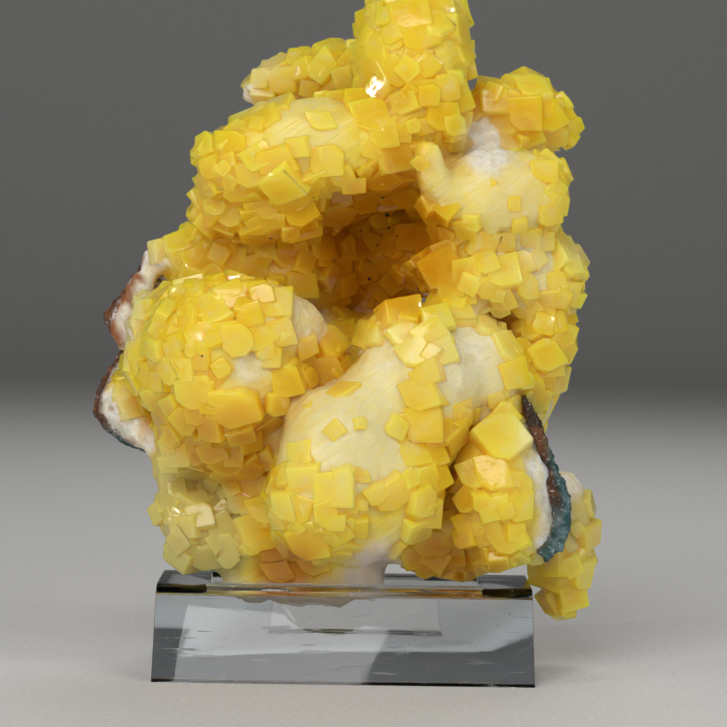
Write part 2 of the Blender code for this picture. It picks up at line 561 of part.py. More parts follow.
def riser(name, where, cutters, clearance=0.0):
    """The riser folded from one sheet, with its seat window and back window, or the room it needs."""
    bm = bmesh.new()
    section = [bm.verts.new(Vector((-RISER_WIDTH / 2, y, z)) * MM) for y, z in riser_section()]
    edges = [bm.edges.new(pair) for pair in zip(section, section[1:])]
    sheet = bmesh.ops.extrude_edge_only(bm, edges=edges)
    far = [v for v in sheet["geom"] if isinstance(v, bmesh.types.BMVert)]
    bmesh.ops.translate(bm, vec=(RISER_WIDTH * MM, 0, 0), verts=far)
    bmesh.ops.recalc_face_normals(bm, faces=bm.faces)
    made = new_object(name, bm, where)
    made.location.x = RISER_MIDDLE * MM
    thicken = made.modifiers.new("sheet", "SOLIDIFY")
    thicken.thickness = (SHEET + 2 * clearance) * MM
    thicken.offset = 0
    thicken.use_even_offset = True
    half, deep = SEAT_WIDTH / 2 - clearance, SEAT_DEPTH / 2 - clearance
    seat = ((RISER_MIDDLE - half, -deep, RISER_HEIGHT / 2), (RISER_MIDDLE + half, deep, RISER_HEIGHT * 2))
    half = BACK_WINDOW_WIDTH / 2 - clearance
    back = (
        (BACK_WINDOW_MIDDLE - half, SEAT_DEPTH / 2, BACK_WINDOW_SILL),
        (BACK_WINDOW_MIDDLE + half, RISER_WIDTH, BACK_WINDOW_SILL + BACK_WINDOW_HEIGHT),
    )
    ground = ((-RISER_WIDTH, -RISER_WIDTH, -RISER_HEIGHT), (RISER_WIDTH, RISER_WIDTH, 0))
    for title, (low, high) in {"seat_window": seat, "back_window": back, "ground": ground}.items():
        cut = made.modifiers.new(title, "BOOLEAN")
        cut.operation = "DIFFERENCE"
        cut.solver = "EXACT"
        cut.object = box_cutter(f"{name}_{title}", low, high, cutters)
    return made


def material(name, colour, roughness, transmission=0.0):
    """A plain Principled material."""
    made = bpy.data.materials.new(name)
    made.use_nodes = True
    shader = made.node_tree.nodes["Principled BSDF"]
    shader.inputs["Base Color"].default_value = (*colour, 1.0)
    shader.inputs["Roughness"].default_value = roughness
    shader.inputs["Transmission Weight"].default_value = transmission
    made.diffuse_color = (*colour, 1.0)
    return made


def hang_on_origin(things, where):
    """Hangs all the things on one empty, moved so that the middle of their box is over the origin."""
    bpy.context.view_layer.update()
    corners = [thing.matrix_world @ v.co for thing in things for v in settled(thing).vertices]
    middle_x = (min(c.x for c in corners) + max(c.x for c in corners)) / 2
    middle_y = (min(c.y for c in corners) + max(c.y for c in corners)) / 2
    hanger = bpy.data.objects.new("origin", None)
    where.objects.link(hanger)
    hanger.location = (-middle_x, -middle_y, 0)
    return hanger


def main():
    for thing in list(bpy.data.objects):
        bpy.data.objects.remove(thing)
    parts = collection("heulandite_crystal_cluster")
    cutters = collection("cutters")

    stand = riser("display_stand", parts, cutters)
    rock_right = right_rind("host_rock_right", parts)
    rock_left = left_rind("host_rock_left", parts)
    rooms = [
        riser("stand_room", cutters, cutters, GAP),
        right_rind("right_rock_room", cutters, GAP),
        left_rind("left_rock_room", cutters, GAP),
    ]

    cluster = zeolite_body("crystal_cluster", parts)
    layers = crystal_layers(cluster, cutters)
    coarsen(cluster, BODY_FACES)
    for layer in layers:
        combine(cluster, layer, "UNION")
    keep_largest(cluster)
    coarsen(cluster, CLUSTER_FACES)
    for room in rooms:
        settle(room)
        combine(cluster, as_cutter(room), "DIFFERENCE")
    keep_largest(cluster)

    cluster.data.materials.append(material("heulandite", (0.78, 0.6, 0.16), 0.3))
    rock_right.data.materials.append(material("basalt_right", (0.1, 0.07, 0.045), 0.8))
    rock_left.data.materials.append(material("basalt_left", (0.22, 0.12, 0.05), 0.8))
    stand.data.materials.append(material("clear_acrylic", (0.86, 0.92, 0.95), 0.06, 1.0))

    hanger = hang_on_origin([stand, rock_right, rock_left, cluster], parts)
    for thing in list(parts.objects) + list(cutters.objects):
        if thing is not hanger:
            thing.parent = hanger


if __name__ == "__main__":
    main()
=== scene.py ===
"""A heulandite crystal cluster on its clear acrylic riser.

The cluster grows in four steps: spheres along the fingers melt into one skin, blocky crystals root on the
skin where the elevation's tables place them and between those, a crust of small crystals fills the gaps, and
everything is joined into one solid. Warmth, which also stands for painted shade in the hollows and under the
fingers, pallor and chalk are then painted on as attributes of the mesh.
"""

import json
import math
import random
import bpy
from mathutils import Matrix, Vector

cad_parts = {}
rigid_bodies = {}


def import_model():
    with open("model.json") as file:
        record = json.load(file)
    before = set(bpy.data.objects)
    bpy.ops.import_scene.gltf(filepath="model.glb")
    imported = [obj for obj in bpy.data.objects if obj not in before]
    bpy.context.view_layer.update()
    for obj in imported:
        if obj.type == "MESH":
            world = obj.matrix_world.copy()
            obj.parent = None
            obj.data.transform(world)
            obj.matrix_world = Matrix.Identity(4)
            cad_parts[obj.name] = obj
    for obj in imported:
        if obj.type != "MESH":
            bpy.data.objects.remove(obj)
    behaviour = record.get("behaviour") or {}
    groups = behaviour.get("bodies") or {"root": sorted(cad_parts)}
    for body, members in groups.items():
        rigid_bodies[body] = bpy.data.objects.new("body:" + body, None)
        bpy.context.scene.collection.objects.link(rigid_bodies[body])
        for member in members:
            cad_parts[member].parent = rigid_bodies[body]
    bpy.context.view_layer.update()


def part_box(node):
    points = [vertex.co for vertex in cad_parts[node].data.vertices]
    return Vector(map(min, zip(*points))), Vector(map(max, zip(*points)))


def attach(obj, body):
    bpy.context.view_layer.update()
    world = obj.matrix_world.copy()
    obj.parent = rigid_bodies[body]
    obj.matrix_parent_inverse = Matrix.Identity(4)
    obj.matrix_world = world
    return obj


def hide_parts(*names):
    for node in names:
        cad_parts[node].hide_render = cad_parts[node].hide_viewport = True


bl_info = {
    "name": "Heulandite Crystal Cluster",
    "version": (1, 0, 0),
    "blender": (4, 5, 0),
    "location": "3D View > Sidebar > Minerals",
    "description": "Grows a crystal cluster on its fingers, breaks its rinds of rock and folds its riser",
    "category": "Add Mesh",
}

import bmesh
import bpy
import numpy as np
from bpy.props import FloatProperty, FloatVectorProperty, IntProperty, PointerProperty
from mathutils import Euler, Matrix, Vector, noise
from mathutils.bvhtree import BVHTree
from mathutils.kdtree import KDTree

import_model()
STAND_LOW, STAND_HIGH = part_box("display_stand")

MM = 0.001

# The front elevation's eye, in millimetres from the plane y = 0 and above the ground. The elevation is
# drawn with the eye tilted a little, in degrees, about the middle of its view (x, z), which is as wide and
# high as VIEW_SIDE.
EYE_DISTANCE = 575.0
EYE_HEIGHT = 87.2
EYE_ROLL = 0.9
VIEW_MIDDLE = (2.7, 60.9)
VIEW_SIDE = 145.4

# The riser, in millimetres. Its width, height and middle are the frame's.
RISER_WIDTH = (STAND_HIGH.x - STAND_LOW.x) / MM
RISER_HEIGHT = STAND_HIGH.z / MM
RISER_MIDDLE = -0.4
RISER_TOP_DEPTH = 25.0
LEG_SLOPE = math.radians(54.5)
SHEET = 2.4
FOLD_RADIUS = 2.4
FOLD_STEPS = 12
SEAT_WIDTH = 54.0
SEAT_DEPTH = 17.0
BACK_WINDOW_WIDTH = 28.5
BACK_WINDOW_MIDDLE = 1.5
BACK_WINDOW_SILL = 6.4
BACK_WINDOW_HEIGHT = 7.1

# The elevation's origin stands here in the frame, in metres.
HOME = Vector((
    (STAND_LOW.x + STAND_HIGH.x) / 2 - RISER_MIDDLE * MM,
    (STAND_LOW.y + STAND_HIGH.y) / 2,
    0.0,
))

# The body's mesh, its lumps, and the seed of everything that grows at random.
BODY_VOXEL = 1.5
BODY_SMOOTHING = 9
BODY_FACES = 28000
STATION_STEP = 2.5
LUMP_SCALE = 160
SEED = 3

# A direction in which no two corners of the riser stand level.
ORDER = Vector((1.0, 0.618, 0.2718))

# A crystal is a low square block, tapering outwards, with some of its upright edges cut off, and its
# measures are shares of its side.
BLOCK_DEPTH = 0.8
BLOCK_GIRTH = 1.2
BLOCK_TAPER = 0.12
CORNER_CUT = 0.3
TERRACE_STEP = 0.1
TERRACE_HEIGHT = 0.05
TERRACE_SHIFT = (0.04, -0.03, 0)
CUT_CORNERS = (0, 0, 1, 1, 2)
BLOCK_FORMS = 5
TERRACED_FORMS = 1
UNEVEN = 0.1
BLOCK_SIDES = ((0.92, 1.12), (0.86, 1.04), (0.85, 1.05))
BLOCK_SKEW = 0.1

# How a large crystal stands: how strongly it turns towards the eye, how far it leans in degrees, how far it
# is lifted as a share of its side, and the share of its listed side that a listed one has.
EYE_PULL = 0.45
LEAN = 8.0
LIFT = -0.18
STANDING_SHARE = 0.9

# A companion sits aside and higher on its crystal, leans from it in degrees, and is smaller, all as shares of
# the crystal's side but the lean.
COMPANION_ASIDE = 0.36
COMPANION_LIFT = 0.14
COMPANION_LEAN = 7
COMPANION_SIDES = (0.45, 0.7)

# The crystals between those that stand out, with their sides in millimetres on the front and on the back,
# how close to one another they may grow, and the y of the normal that parts the front from the back.
FILL_TRIES = 1500
FRONT_FILL = (4.5, 6.5)
BACK_FILL = (8.0, 11.0)
CROWDING = 0.9
FRONT_SIDE = 0.6

# The younger crystals in the gaps, and those that lie nearly flush on the bare fingers: tries, sides in
# millimetres, how close they may grow, and how far they sink in, as shares of the side.
YOUNG_TRIES = 7000
YOUNG_CRYSTALS = (3.6, 6.4)
YOUNG_CROWDING = 0.62
YOUNG_SINK = (0.0, 0.17)
YOUNG_EYE_PULL = 0.15
FLUSH_CRYSTALS = (1.6, 4.6)
FLUSH_CROWDING = 2.3
FLUSH_SINK = (0.09, 0.16)

# The crust of small crystals: their worn edges, how they tip and turn in radians, how many fit in a square
# of their spacing, and how many of those the bare fingers have.
SMALL_ROUNDING = 0.07
SMALL_TIP = (0.2, 0.2, 3.2)
SMALL_CROWD = 0.6
BARE_ROOM = 0.2

# How chalky or lilac a place may be and still have crystals, and the angle that keeps an edge sharp.
MOST_CHALK = 0.55
SHARP_ANGLE = math.radians(50)

# The flecks of dust on the riser: their sides as shares of the usual one, and how many lie on a square metre.
DUST_SIDES = (0.4, 1.6)
DUST_DENSITY = 70000.0

# How far the corners of a broken grain stand from its middle, as shares of an even grain's.
SHARD_SIDES = (0.75, 1.15)

# The softboxes: where each stands and its side in metres, and whether glossy faces mirror it and whether it
# shines through the sheet. Then the narrow lamps whose reflections glint on the facets.
SOFTBOXES = {
    "key": ((-0.17, -0.58, 0.6), 0.45, True, False),
    "fill": ((0.65, -0.45, 0.3), 0.4, False, False),
    "low": ((-0.15, -0.6, 0.02), 0.3, False, True),
    "back": ((0.1, 0.45, 0.6), 0.4, False, False),
}
SPARK_SIDES = (0.012, 0.12)
SPARKS = [(-0.3, -0.5, 0.35), (0.3, -0.5, 0.4), (-0.45, -0.3, 0.15), (0.45, -0.3, 0.6), (-0.5, -0.25, 0.55)]

# Half of the stage's width, the height of its wall and the radius of the curve up to it, in metres, and the
# height that the lamps are aimed at and the camera's sensor, in millimetres.
STAGE_SIDE = 1.6
STAGE_HEIGHT = 1.4
STAGE_CURVE = 0.5
LIT_HEIGHT = 65
SENSOR = 36.0

# Clearance between touching pieces, in millimetres.
GAP = 0.35

# The rinds of host rock, in millimetres on the front elevation: the right one runs down the lower right
# lobe as (x, z, thickness), between two depths, and the left one is an outline, (x, z), behind the left
# edges, whose depth grows towards the middle.
RIGHT_RIND = [
    (34.6, 54.6, 1.6), (36.6, 49.6, 2.2), (38.7, 44, 2.6), (40.4, 38.6, 3.4), (41.9, 33.6, 4),
    (42.6, 29, 3.6), (41.3, 25, 3.6), (38.4, 22, 3),
]
RIGHT_RIND_FRONT = -16.0
RIGHT_RIND_BACK = -2.5
LEFT_RIND = [
    (-43, 79), (-45.2, 76), (-47.6, 73.6), (-49.2, 70.6), (-48.6, 67.2), (-45.4, 64.2), (-48.4, 60.4),
    (-51, 55), (-51.2, 51), (-49, 47), (-45, 43.8), (-40, 42.4), (-33, 41), (-26, 44), (-21, 52), (-19, 62),
    (-21, 72), (-27, 80), (-35, 83), (-40.4, 82.6),
]
LEFT_RIND_DEPTH = 10.5
LEFT_RIND_SLOPE = 0.24
LEFT_RIND_THICKNESS = 2.4

# How often the rock's swells, chips and pits come in a metre.
ROCK_SWELL = 130
ROCK_CHIPS = 330
ROCK_PITS = 800

# Each finger or swelling is a chain of stations (x, z, y, radius) in millimetres on the front elevation.
FINGERS = {
    "tower": [(10, 103.5, -6, 8.5), (13, 111.5, -7, 11.8), (12.6, 123, -5, 12.6), (12.8, 128.6, -3, 11)],
    "upper_left_arm": [
        (6, 105, -8, 10.5), (-2, 105.4, -11, 10.4), (-10, 104, -12, 11), (-24, 100.6, -12, 8.2),
    ],
    "arm_underside": [(-26, 92, -6, 6.8), (-12, 93, -7, 8)],
    "back_left_knob": [(-18, 115.6, 12, 5), (-12, 117.2, 12, 6.2), (-4, 118, 9, 7), (4, 118, 4, 7.6)],
    "upper_right_knob": [(28, 112, 6, 6), (35, 110.5, 7, 8.2), (40, 108.4, 9, 6.8)],
    "right_stump": [(21, 93.5, -8, 7), (27, 94.5, -11, 9.6), (35.4, 95.2, -9, 8.6)],
    "stump_foot": [(24, 85, -7, 7.5), (35, 86, -5, 8)],
    "stump_nub": [(15.2, 102.8, -21, 3.3), (16.6, 98, -19.5, 3.5), (18.4, 93, -16, 3.6)],
    "right_shelf": [(16, 80, -6, 5), (26, 78.5, -9, 8), (39.4, 78, -3, 8.8)],
    "right_flank": [(38.4, 67, -3, 7.8), (36, 57.4, -4, 7.2)],
    "centre_column": [(10, 66, -14, 7.5), (16, 57.5, -15, 12), (13, 47.5, -16, 10)],
    "column_fan": [(20, 69, -12, 6.5), (27, 59, -11, 9.5)],
    "front_finger": [(-1.6, 45, -20, 13.4), (-5, 34.5, -23, 12.6), (-8, 27.5, -20, 8)],
    "front_finger_right": [(1, 43, -20, 11), (8, 35.5, -20, 11.5), (2, 26, -18, 8)],
    "left_finger": [(-11.5, 67.5, -11, 8), (-17, 69, -14, 9.8), (-27, 64.5, -11, 15.2)],
    "left_finger_side": [(-38, 70, -4, 7.5), (-36, 60, -6, 9.6), (-27, 56, -12, 12)],
    "left_finger_low": [(-15, 57.5, -14, 7.5), (-25, 54, -14, 11)],
    "left_underside": [(-22, 46, -8, 8.5), (-31.5, 46.5, -5, 8.5)],
    "saddle": [(-4.5, 62, -8, 5.6), (-6, 55, -7, 6.6)],
    "left_edge_high": [
        (-33, 82, 6, 4), (-38.6, 83.2, 8, 3), (-40.6, 78.5, 8.4, 2.4), (-43.4, 73, 9, 3),
        (-46, 69.5, 9.4, 2.7), (-44.6, 66, 9, 2.4),
    ],
    "left_edge_low": [
        (-40, 47, 5, 4.6), (-44, 49.4, 5.8, 4.2), (-44.6, 54, 6, 5), (-47.2, 51.8, 7.2, 3.2),
        (-47, 55.4, 7.4, 2.8),
    ],
    "lower_left_skirt": [
        (-37.4, 42, 1, 4.4), (-34, 32, -2, 5.4), (-30.5, 27.5, -4, 7), (-32, 22.5, -3, 4.4),
    ],
    "skirt_right": [(-30, 24.5, -3, 6), (-20, 25, -4, 7)],
    "foot": [(-20, 18.5, -1, 6), (-8, 18.2, -1, 6.4), (1.5, 18.4, -1, 6)],
    "foot_right": [(12, 24, -6, 6), (23, 22.4, -4, 5.6)],
    "lower_right_lobe": [(30, 45.5, -15, 6.5), (29, 34, -15, 9.6), (30, 25.6, -15, 6.4)],
    "lobe_shoulder": [(31.5, 48, -12, 4.6), (36, 40, -12, 5), (37.6, 31, -11, 5.2), (36.5, 26, -11, 4.6)],
    "finger_neck": [(10, 62, -14, 6.4), (7, 56.5, -16, 7.6), (3.6, 51, -18, 9)],
    "finger_gap": [(-13, 50.5, -7, 6.4), (-12, 43, -9, 7)],
    "behind_lobe": [(20.5, 49, -5, 7.4), (21, 38, -7, 7.6), (21, 29, -8, 6.6)],
    "overhang": [(42.8, 36.4, 3, 4.8), (43.8, 31, 4, 6), (43, 21, 6, 6.8), (42.4, 13.4, 8, 4.6)],
    "overhang_link": [(30, 36, 2, 8), (40, 31, 4, 7)],
    "back_upper": [(-20, 88, 7, 12), (-8, 97, 8, 12), (6, 104, 8, 12), (24, 100, 7, 12)],
    "back_left": [(-22, 84, 8, 12), (-28, 66, 9, 12), (-24, 46, 6, 12), (-18, 32, 2, 10)],
    "back_right": [(26, 98, 7, 12), (31, 76, 8, 12), (29, 58, 6, 12), (28, 40, 2, 11)],
    "back_low": [(-18, 34, 0, 10), (0, 30, -3, 11), (18, 32, -3, 11), (28, 36, 0, 9)],
    "cave_wall": [(-14, 80, 8, 9.5), (4, 82, 26, 9), (22, 84, 10, 8)],
    "cave_floor": [(-6, 62, 14, 11), (8, 58, 10, 11), (18, 64, 8, 9)],
    "cave_top": [(2, 98, 20, 9), (8, 84, 26, 9), (4, 70, 24, 9)],
}

# The crystals that stand out, by the part that they crust: (x, z, edge, turn), where x and z place the
# crystal on the front elevation, edge is its side in millimetres and turn its slant there in degrees.
STANDING_CRYSTALS = {
    "tower": [
        (-1, 128.8, 4.4, 30), (3.6, 129.2, 6, 8), (9, 126.2, 5, 60), (13.6, 125.8, 6, 30),
        (12.2, 130, 7.5, 15), (18, 132, 6, 5), (21.8, 131.6, 6, 0), (9.4, 119, 6.4, 20),
        (19.2, 116, 5.8, 15), (18.4, 110, 6.6, 10), (11.4, 113.2, 5, 25), (3, 122.6, 5, 10),
        (5.8, 115.6, 5.6, 50), (21, 105.6, 5, 5), (12, 101.8, 5.8, 22), (15.6, 120.4, 4.6, 40),
        (7, 106.6, 5.6, 15), (24, 123.6, 4.4, 10), (0.5, 121.6, 5, 35),
    ],
    "upper_left_arm": [
        (-28.8, 104.4, 5.2, 25), (-21.4, 109.2, 5.6, 20), (-16, 109.6, 5.2, 40), (-5.8, 109.2, 4.2, 15),
        (1.4, 113.2, 5.8, 12), (4.4, 110.4, 6, 25), (-13.6, 97.2, 8, 38), (-4.2, 101, 6, 10),
        (-1.6, 98.6, 5.5, 30), (-9.6, 91.2, 6.4, 40), (-16.4, 92, 4.4, 50), (-2.2, 94.8, 5.6, 20),
        (2.8, 92.8, 5, 15), (-27.8, 100.2, 4.6, 15), (-23.8, 105.2, 5.6, 5), (-22.6, 95.2, 5, 0),
        (-26.4, 92.6, 5, 20), (-19, 92.4, 4.6, 10), (-30.4, 103.2, 4.4, 40), (-29.6, 96.6, 4, 10),
        (-18.5, 101.5, 5, 30), (-10.5, 104.2, 4.6, 12),
    ],
    "cave": [
        (-24.6, 84.6, 5, 3), (-11.6, 85.8, 6, 5), (-5.8, 83.8, 6, 8), (-0.8, 83.2, 4.6, 0),
        (-16.8, 83.4, 4.6, 5), (-34.2, 84.8, 6, 25), (-20, 79.6, 5, 5), (-10, 76.6, 5.8, 5),
        (-3, 74.6, 6, 30), (6, 90, 5, 20), (3, 79, 5.4, 15), (8.5, 77.5, 5, 35),
    ],
    "back_left_knob": [
        (-18.6, 121.4, 4.2, 20), (-13.2, 117.2, 6, 5), (-5, 120, 7, 50), (-10.8, 122.4, 5, 15),
        (-17.6, 117.6, 4.6, 0), (-1, 117.6, 5, 10),
    ],
    "upper_right_knob": [
        (27.8, 118.6, 6.4, 15), (28.6, 113.2, 5.6, 5), (35.6, 110.8, 7.4, 10), (40, 110, 6, 35),
        (42.2, 114.4, 4.4, 20), (45.2, 108, 4, 40), (44.6, 104.4, 4, 15), (28.2, 106.2, 5, 45),
        (33, 116.6, 5, 5), (38, 116.6, 4.6, 0),
    ],
    "right_side": [
        (18, 86.6, 5.4, 4), (12, 86.2, 6, 0), (23.4, 88, 5.6, 3), (36, 86.2, 4.8, 8), (18, 80.2, 8, 30),
        (30.8, 85.4, 5, 12), (20.6, 76.2, 6, 10), (27, 81.2, 5, 25), (44.2, 80.2, 4.8, 5),
        (43.8, 75, 5.2, 3), (48.2, 83.4, 4.8, 30), (45.8, 70.6, 4.2, 15), (34.4, 81, 4.8, 20),
        (35.2, 76.2, 5.6, 5), (30.8, 73.6, 5, 30), (39.6, 73.6, 4.4, 10), (39, 85.6, 4.6, 0),
        (42, 92.6, 4.6, 10), (38.8, 99, 5, 0), (40, 90.6, 4.8, 15), (39.2, 62.6, 6.8, 25),
        (43.8, 56.6, 6.6, 8), (40.6, 60.2, 4.6, 10), (41, 68.6, 5, 20), (36, 67.6, 4.6, 30),
    ],
    "left_finger": [
        (-38, 78.6, 4.8, 30), (-33.6, 74.6, 4.6, 20), (-31.2, 76, 4.4, 5), (-23.8, 74.2, 5.8, 25),
        (-14.8, 72.8, 6.4, 5), (-19, 80.2, 5, 15), (-22.6, 65.6, 6.6, 5), (-13.6, 67.2, 6, 15),
        (-16, 62.4, 5.2, 3), (-30, 61.6, 5, 0), (-30, 66.4, 5.4, 30), (-36.4, 67.6, 5, 10),
        (-41.8, 63.6, 5.6, 25), (-45.4, 59, 6, 20), (-40.6, 53, 6.2, 15), (-31.2, 55.4, 7, 8),
        (-22.6, 52.2, 8.6, 15), (-32.8, 49.6, 6, 45), (-34.8, 43.2, 6.4, 10), (-27.4, 43.6, 5.8, 25),
        (-24.8, 40.6, 5.4, 30), (-20.2, 45.2, 4.8, 20), (-12.8, 57, 5.8, 20), (-14.8, 53, 5.4, 10),
        (-39, 71.6, 4.6, 20), (-27, 70.6, 5, 35), (-35, 63.6, 4.8, 20), (-38, 57.6, 5.4, 5),
        (-27, 78.6, 4.8, 30), (-20, 70.6, 5.4, 15),
    ],
    "saddle": [(-3.8, 65.2, 7, 30), (-5, 60.2, 7, 15), (-1.4, 59.2, 5.4, 40), (-8.6, 64.4, 4.8, 20)],
    "lower_left_skirt": [
        (-33.2, 28.2, 5.4, 12), (-29.8, 30.2, 5.4, 5), (-25.8, 28, 6, 25), (-24.6, 24, 5.4, 50),
        (-34, 22.4, 5.4, 15), (-34.6, 35.6, 3.6, 20), (-29, 21.6, 5, 20), (-22, 32.6, 4.4, 10),
    ],
    "front_finger": [
        (-18.6, 37, 6.8, 10), (-9.2, 37, 6.4, 5), (-3.4, 35.8, 7.2, 3), (2.2, 38.2, 2.8, 5),
        (-3, 47.6, 3.4, 45), (8.2, 35, 6.8, 42), (1, 28, 4.4, 5), (-18.6, 26.8, 7.6, 20),
        (-14.8, 24.8, 6.8, 10), (-8, 24.6, 7.8, 8), (-7.2, 20.8, 6, 20), (-14.4, 19.6, 5.4, 30),
        (-12.8, 32.6, 6, 0), (-17, 31.6, 6, 15), (-17.6, 41.6, 5, 30), (-10, 42.6, 4.6, 10),
        (-5, 30.6, 5, 5),
    ],
    "centre_column": [
        (16.4, 66.4, 8.6, 30), (13.6, 63, 6.2, 35), (19, 63.2, 5.4, 25), (10.4, 70.6, 7, 20),
        (14.8, 55, 7.6, 28), (14.8, 48.8, 7.4, 5), (16, 43.2, 6.4, 15), (16.8, 38.2, 6.4, 25),
        (14.4, 33.4, 6, 10), (13.2, 27.6, 6.8, 15), (16.8, 25, 7, 40), (17.4, 21.6, 6, 50),
        (20.2, 28.8, 5.4, 10), (32.8, 59, 6, 15), (24.2, 50, 3.8, 5), (29.4, 53.4, 3.8, 15),
    ],
    "lower_right_lobe": [
        (30.8, 46.4, 9, 42), (28.6, 38.6, 7.4, 10), (25.4, 38.6, 6, 30), (23.4, 42.4, 5, 20),
        (24.2, 28.4, 6.4, 20), (28.6, 31.8, 6, 15), (32, 25.6, 5.8, 40), (29.4, 20.6, 7.2, 30),
        (26, 23.6, 5.8, 50), (34, 31.6, 5.8, 10), (34.4, 19, 6.4, 45), (24, 33.6, 5.6, 45),
    ],
    "foot_right": [(15.5, 20, 5, 20), (20, 18.6, 5.4, 10), (24.6, 19, 5, 35), (27, 22.4, 5, 10)],
    "overhang": [
        (39.8, 13, 6, 10), (45, 13.6, 6, 20), (47.8, 26.4, 7, 15), (49, 21.6, 5.6, 30), (46.6, 18.6, 6, 5),
        (48, 32.6, 5.2, 30), (42.4, 9.6, 4.6, 20),
    ],
}

# The fingers that no crust thickens, and the crust's thickness on the others in millimetres.
BARE_FINGERS = {
    "right_stump", "stump_nub", "left_edge_high", "left_edge_low", "foot", "cave_wall", "cave_top",
    "finger_neck", "lobe_shoulder",
}
CRUST = 1.2

# Where the mordenite fingers show bare, as (x, z, radius) in millimetres on the front elevation.
BARE_PATCHES = [
    (-4, 46.5, 12), (4, 41, 8), (2, 52, 9), (9, 60, 7), (22, 61, 8), (27, 55, 6), (-8, 108.5, 7),
    (-1, 106, 6), (26, 96, 9.5), (33, 96, 8), (17.5, 98, 5), (-10.5, 68.5, 4), (-13, 77.5, 5),
    (-18, 57.5, 4.5), (-46, 72, 4), (-40, 81.5, 5), (-44, 77, 3.6), (-47, 69, 3.4), (-48, 52, 4),
    (-49, 48, 4), (-42, 46.5, 4), (-36, 38, 4), (-8, 15, 9), (-20, 15, 8), (2, 15, 8), (8, 21, 4.5),
    (37, 42, 5), (39, 33, 5), (27, 103, 4), (38, 81.5, 3.5), (46, 33, 4), (-50, 74, 5), (-47, 80, 5),
    (-51, 50, 5), (-50, 56, 4), (-47, 65, 3), (40, 27, 3.5), (44, 38, 3.5), (-30, 101, 2.5),
    (15, 103.5, 4.4), (17, 96, 4), (-8, 68, 5), (-5.5, 66.5, 4), (-9.5, 73, 3.6), (-21.5, 57.5, 3.2),
    (6.5, 35, 5), (7.5, 29, 5), (3, 26, 4), (21, 119, 4.6), (-39, 40, 3.4), (5, 55, 6), (-2, 54, 5),
    (43, 36, 4.4), (45, 93, 4), (-48.6, 69, 3.4), (-43, 80, 3.4),
]
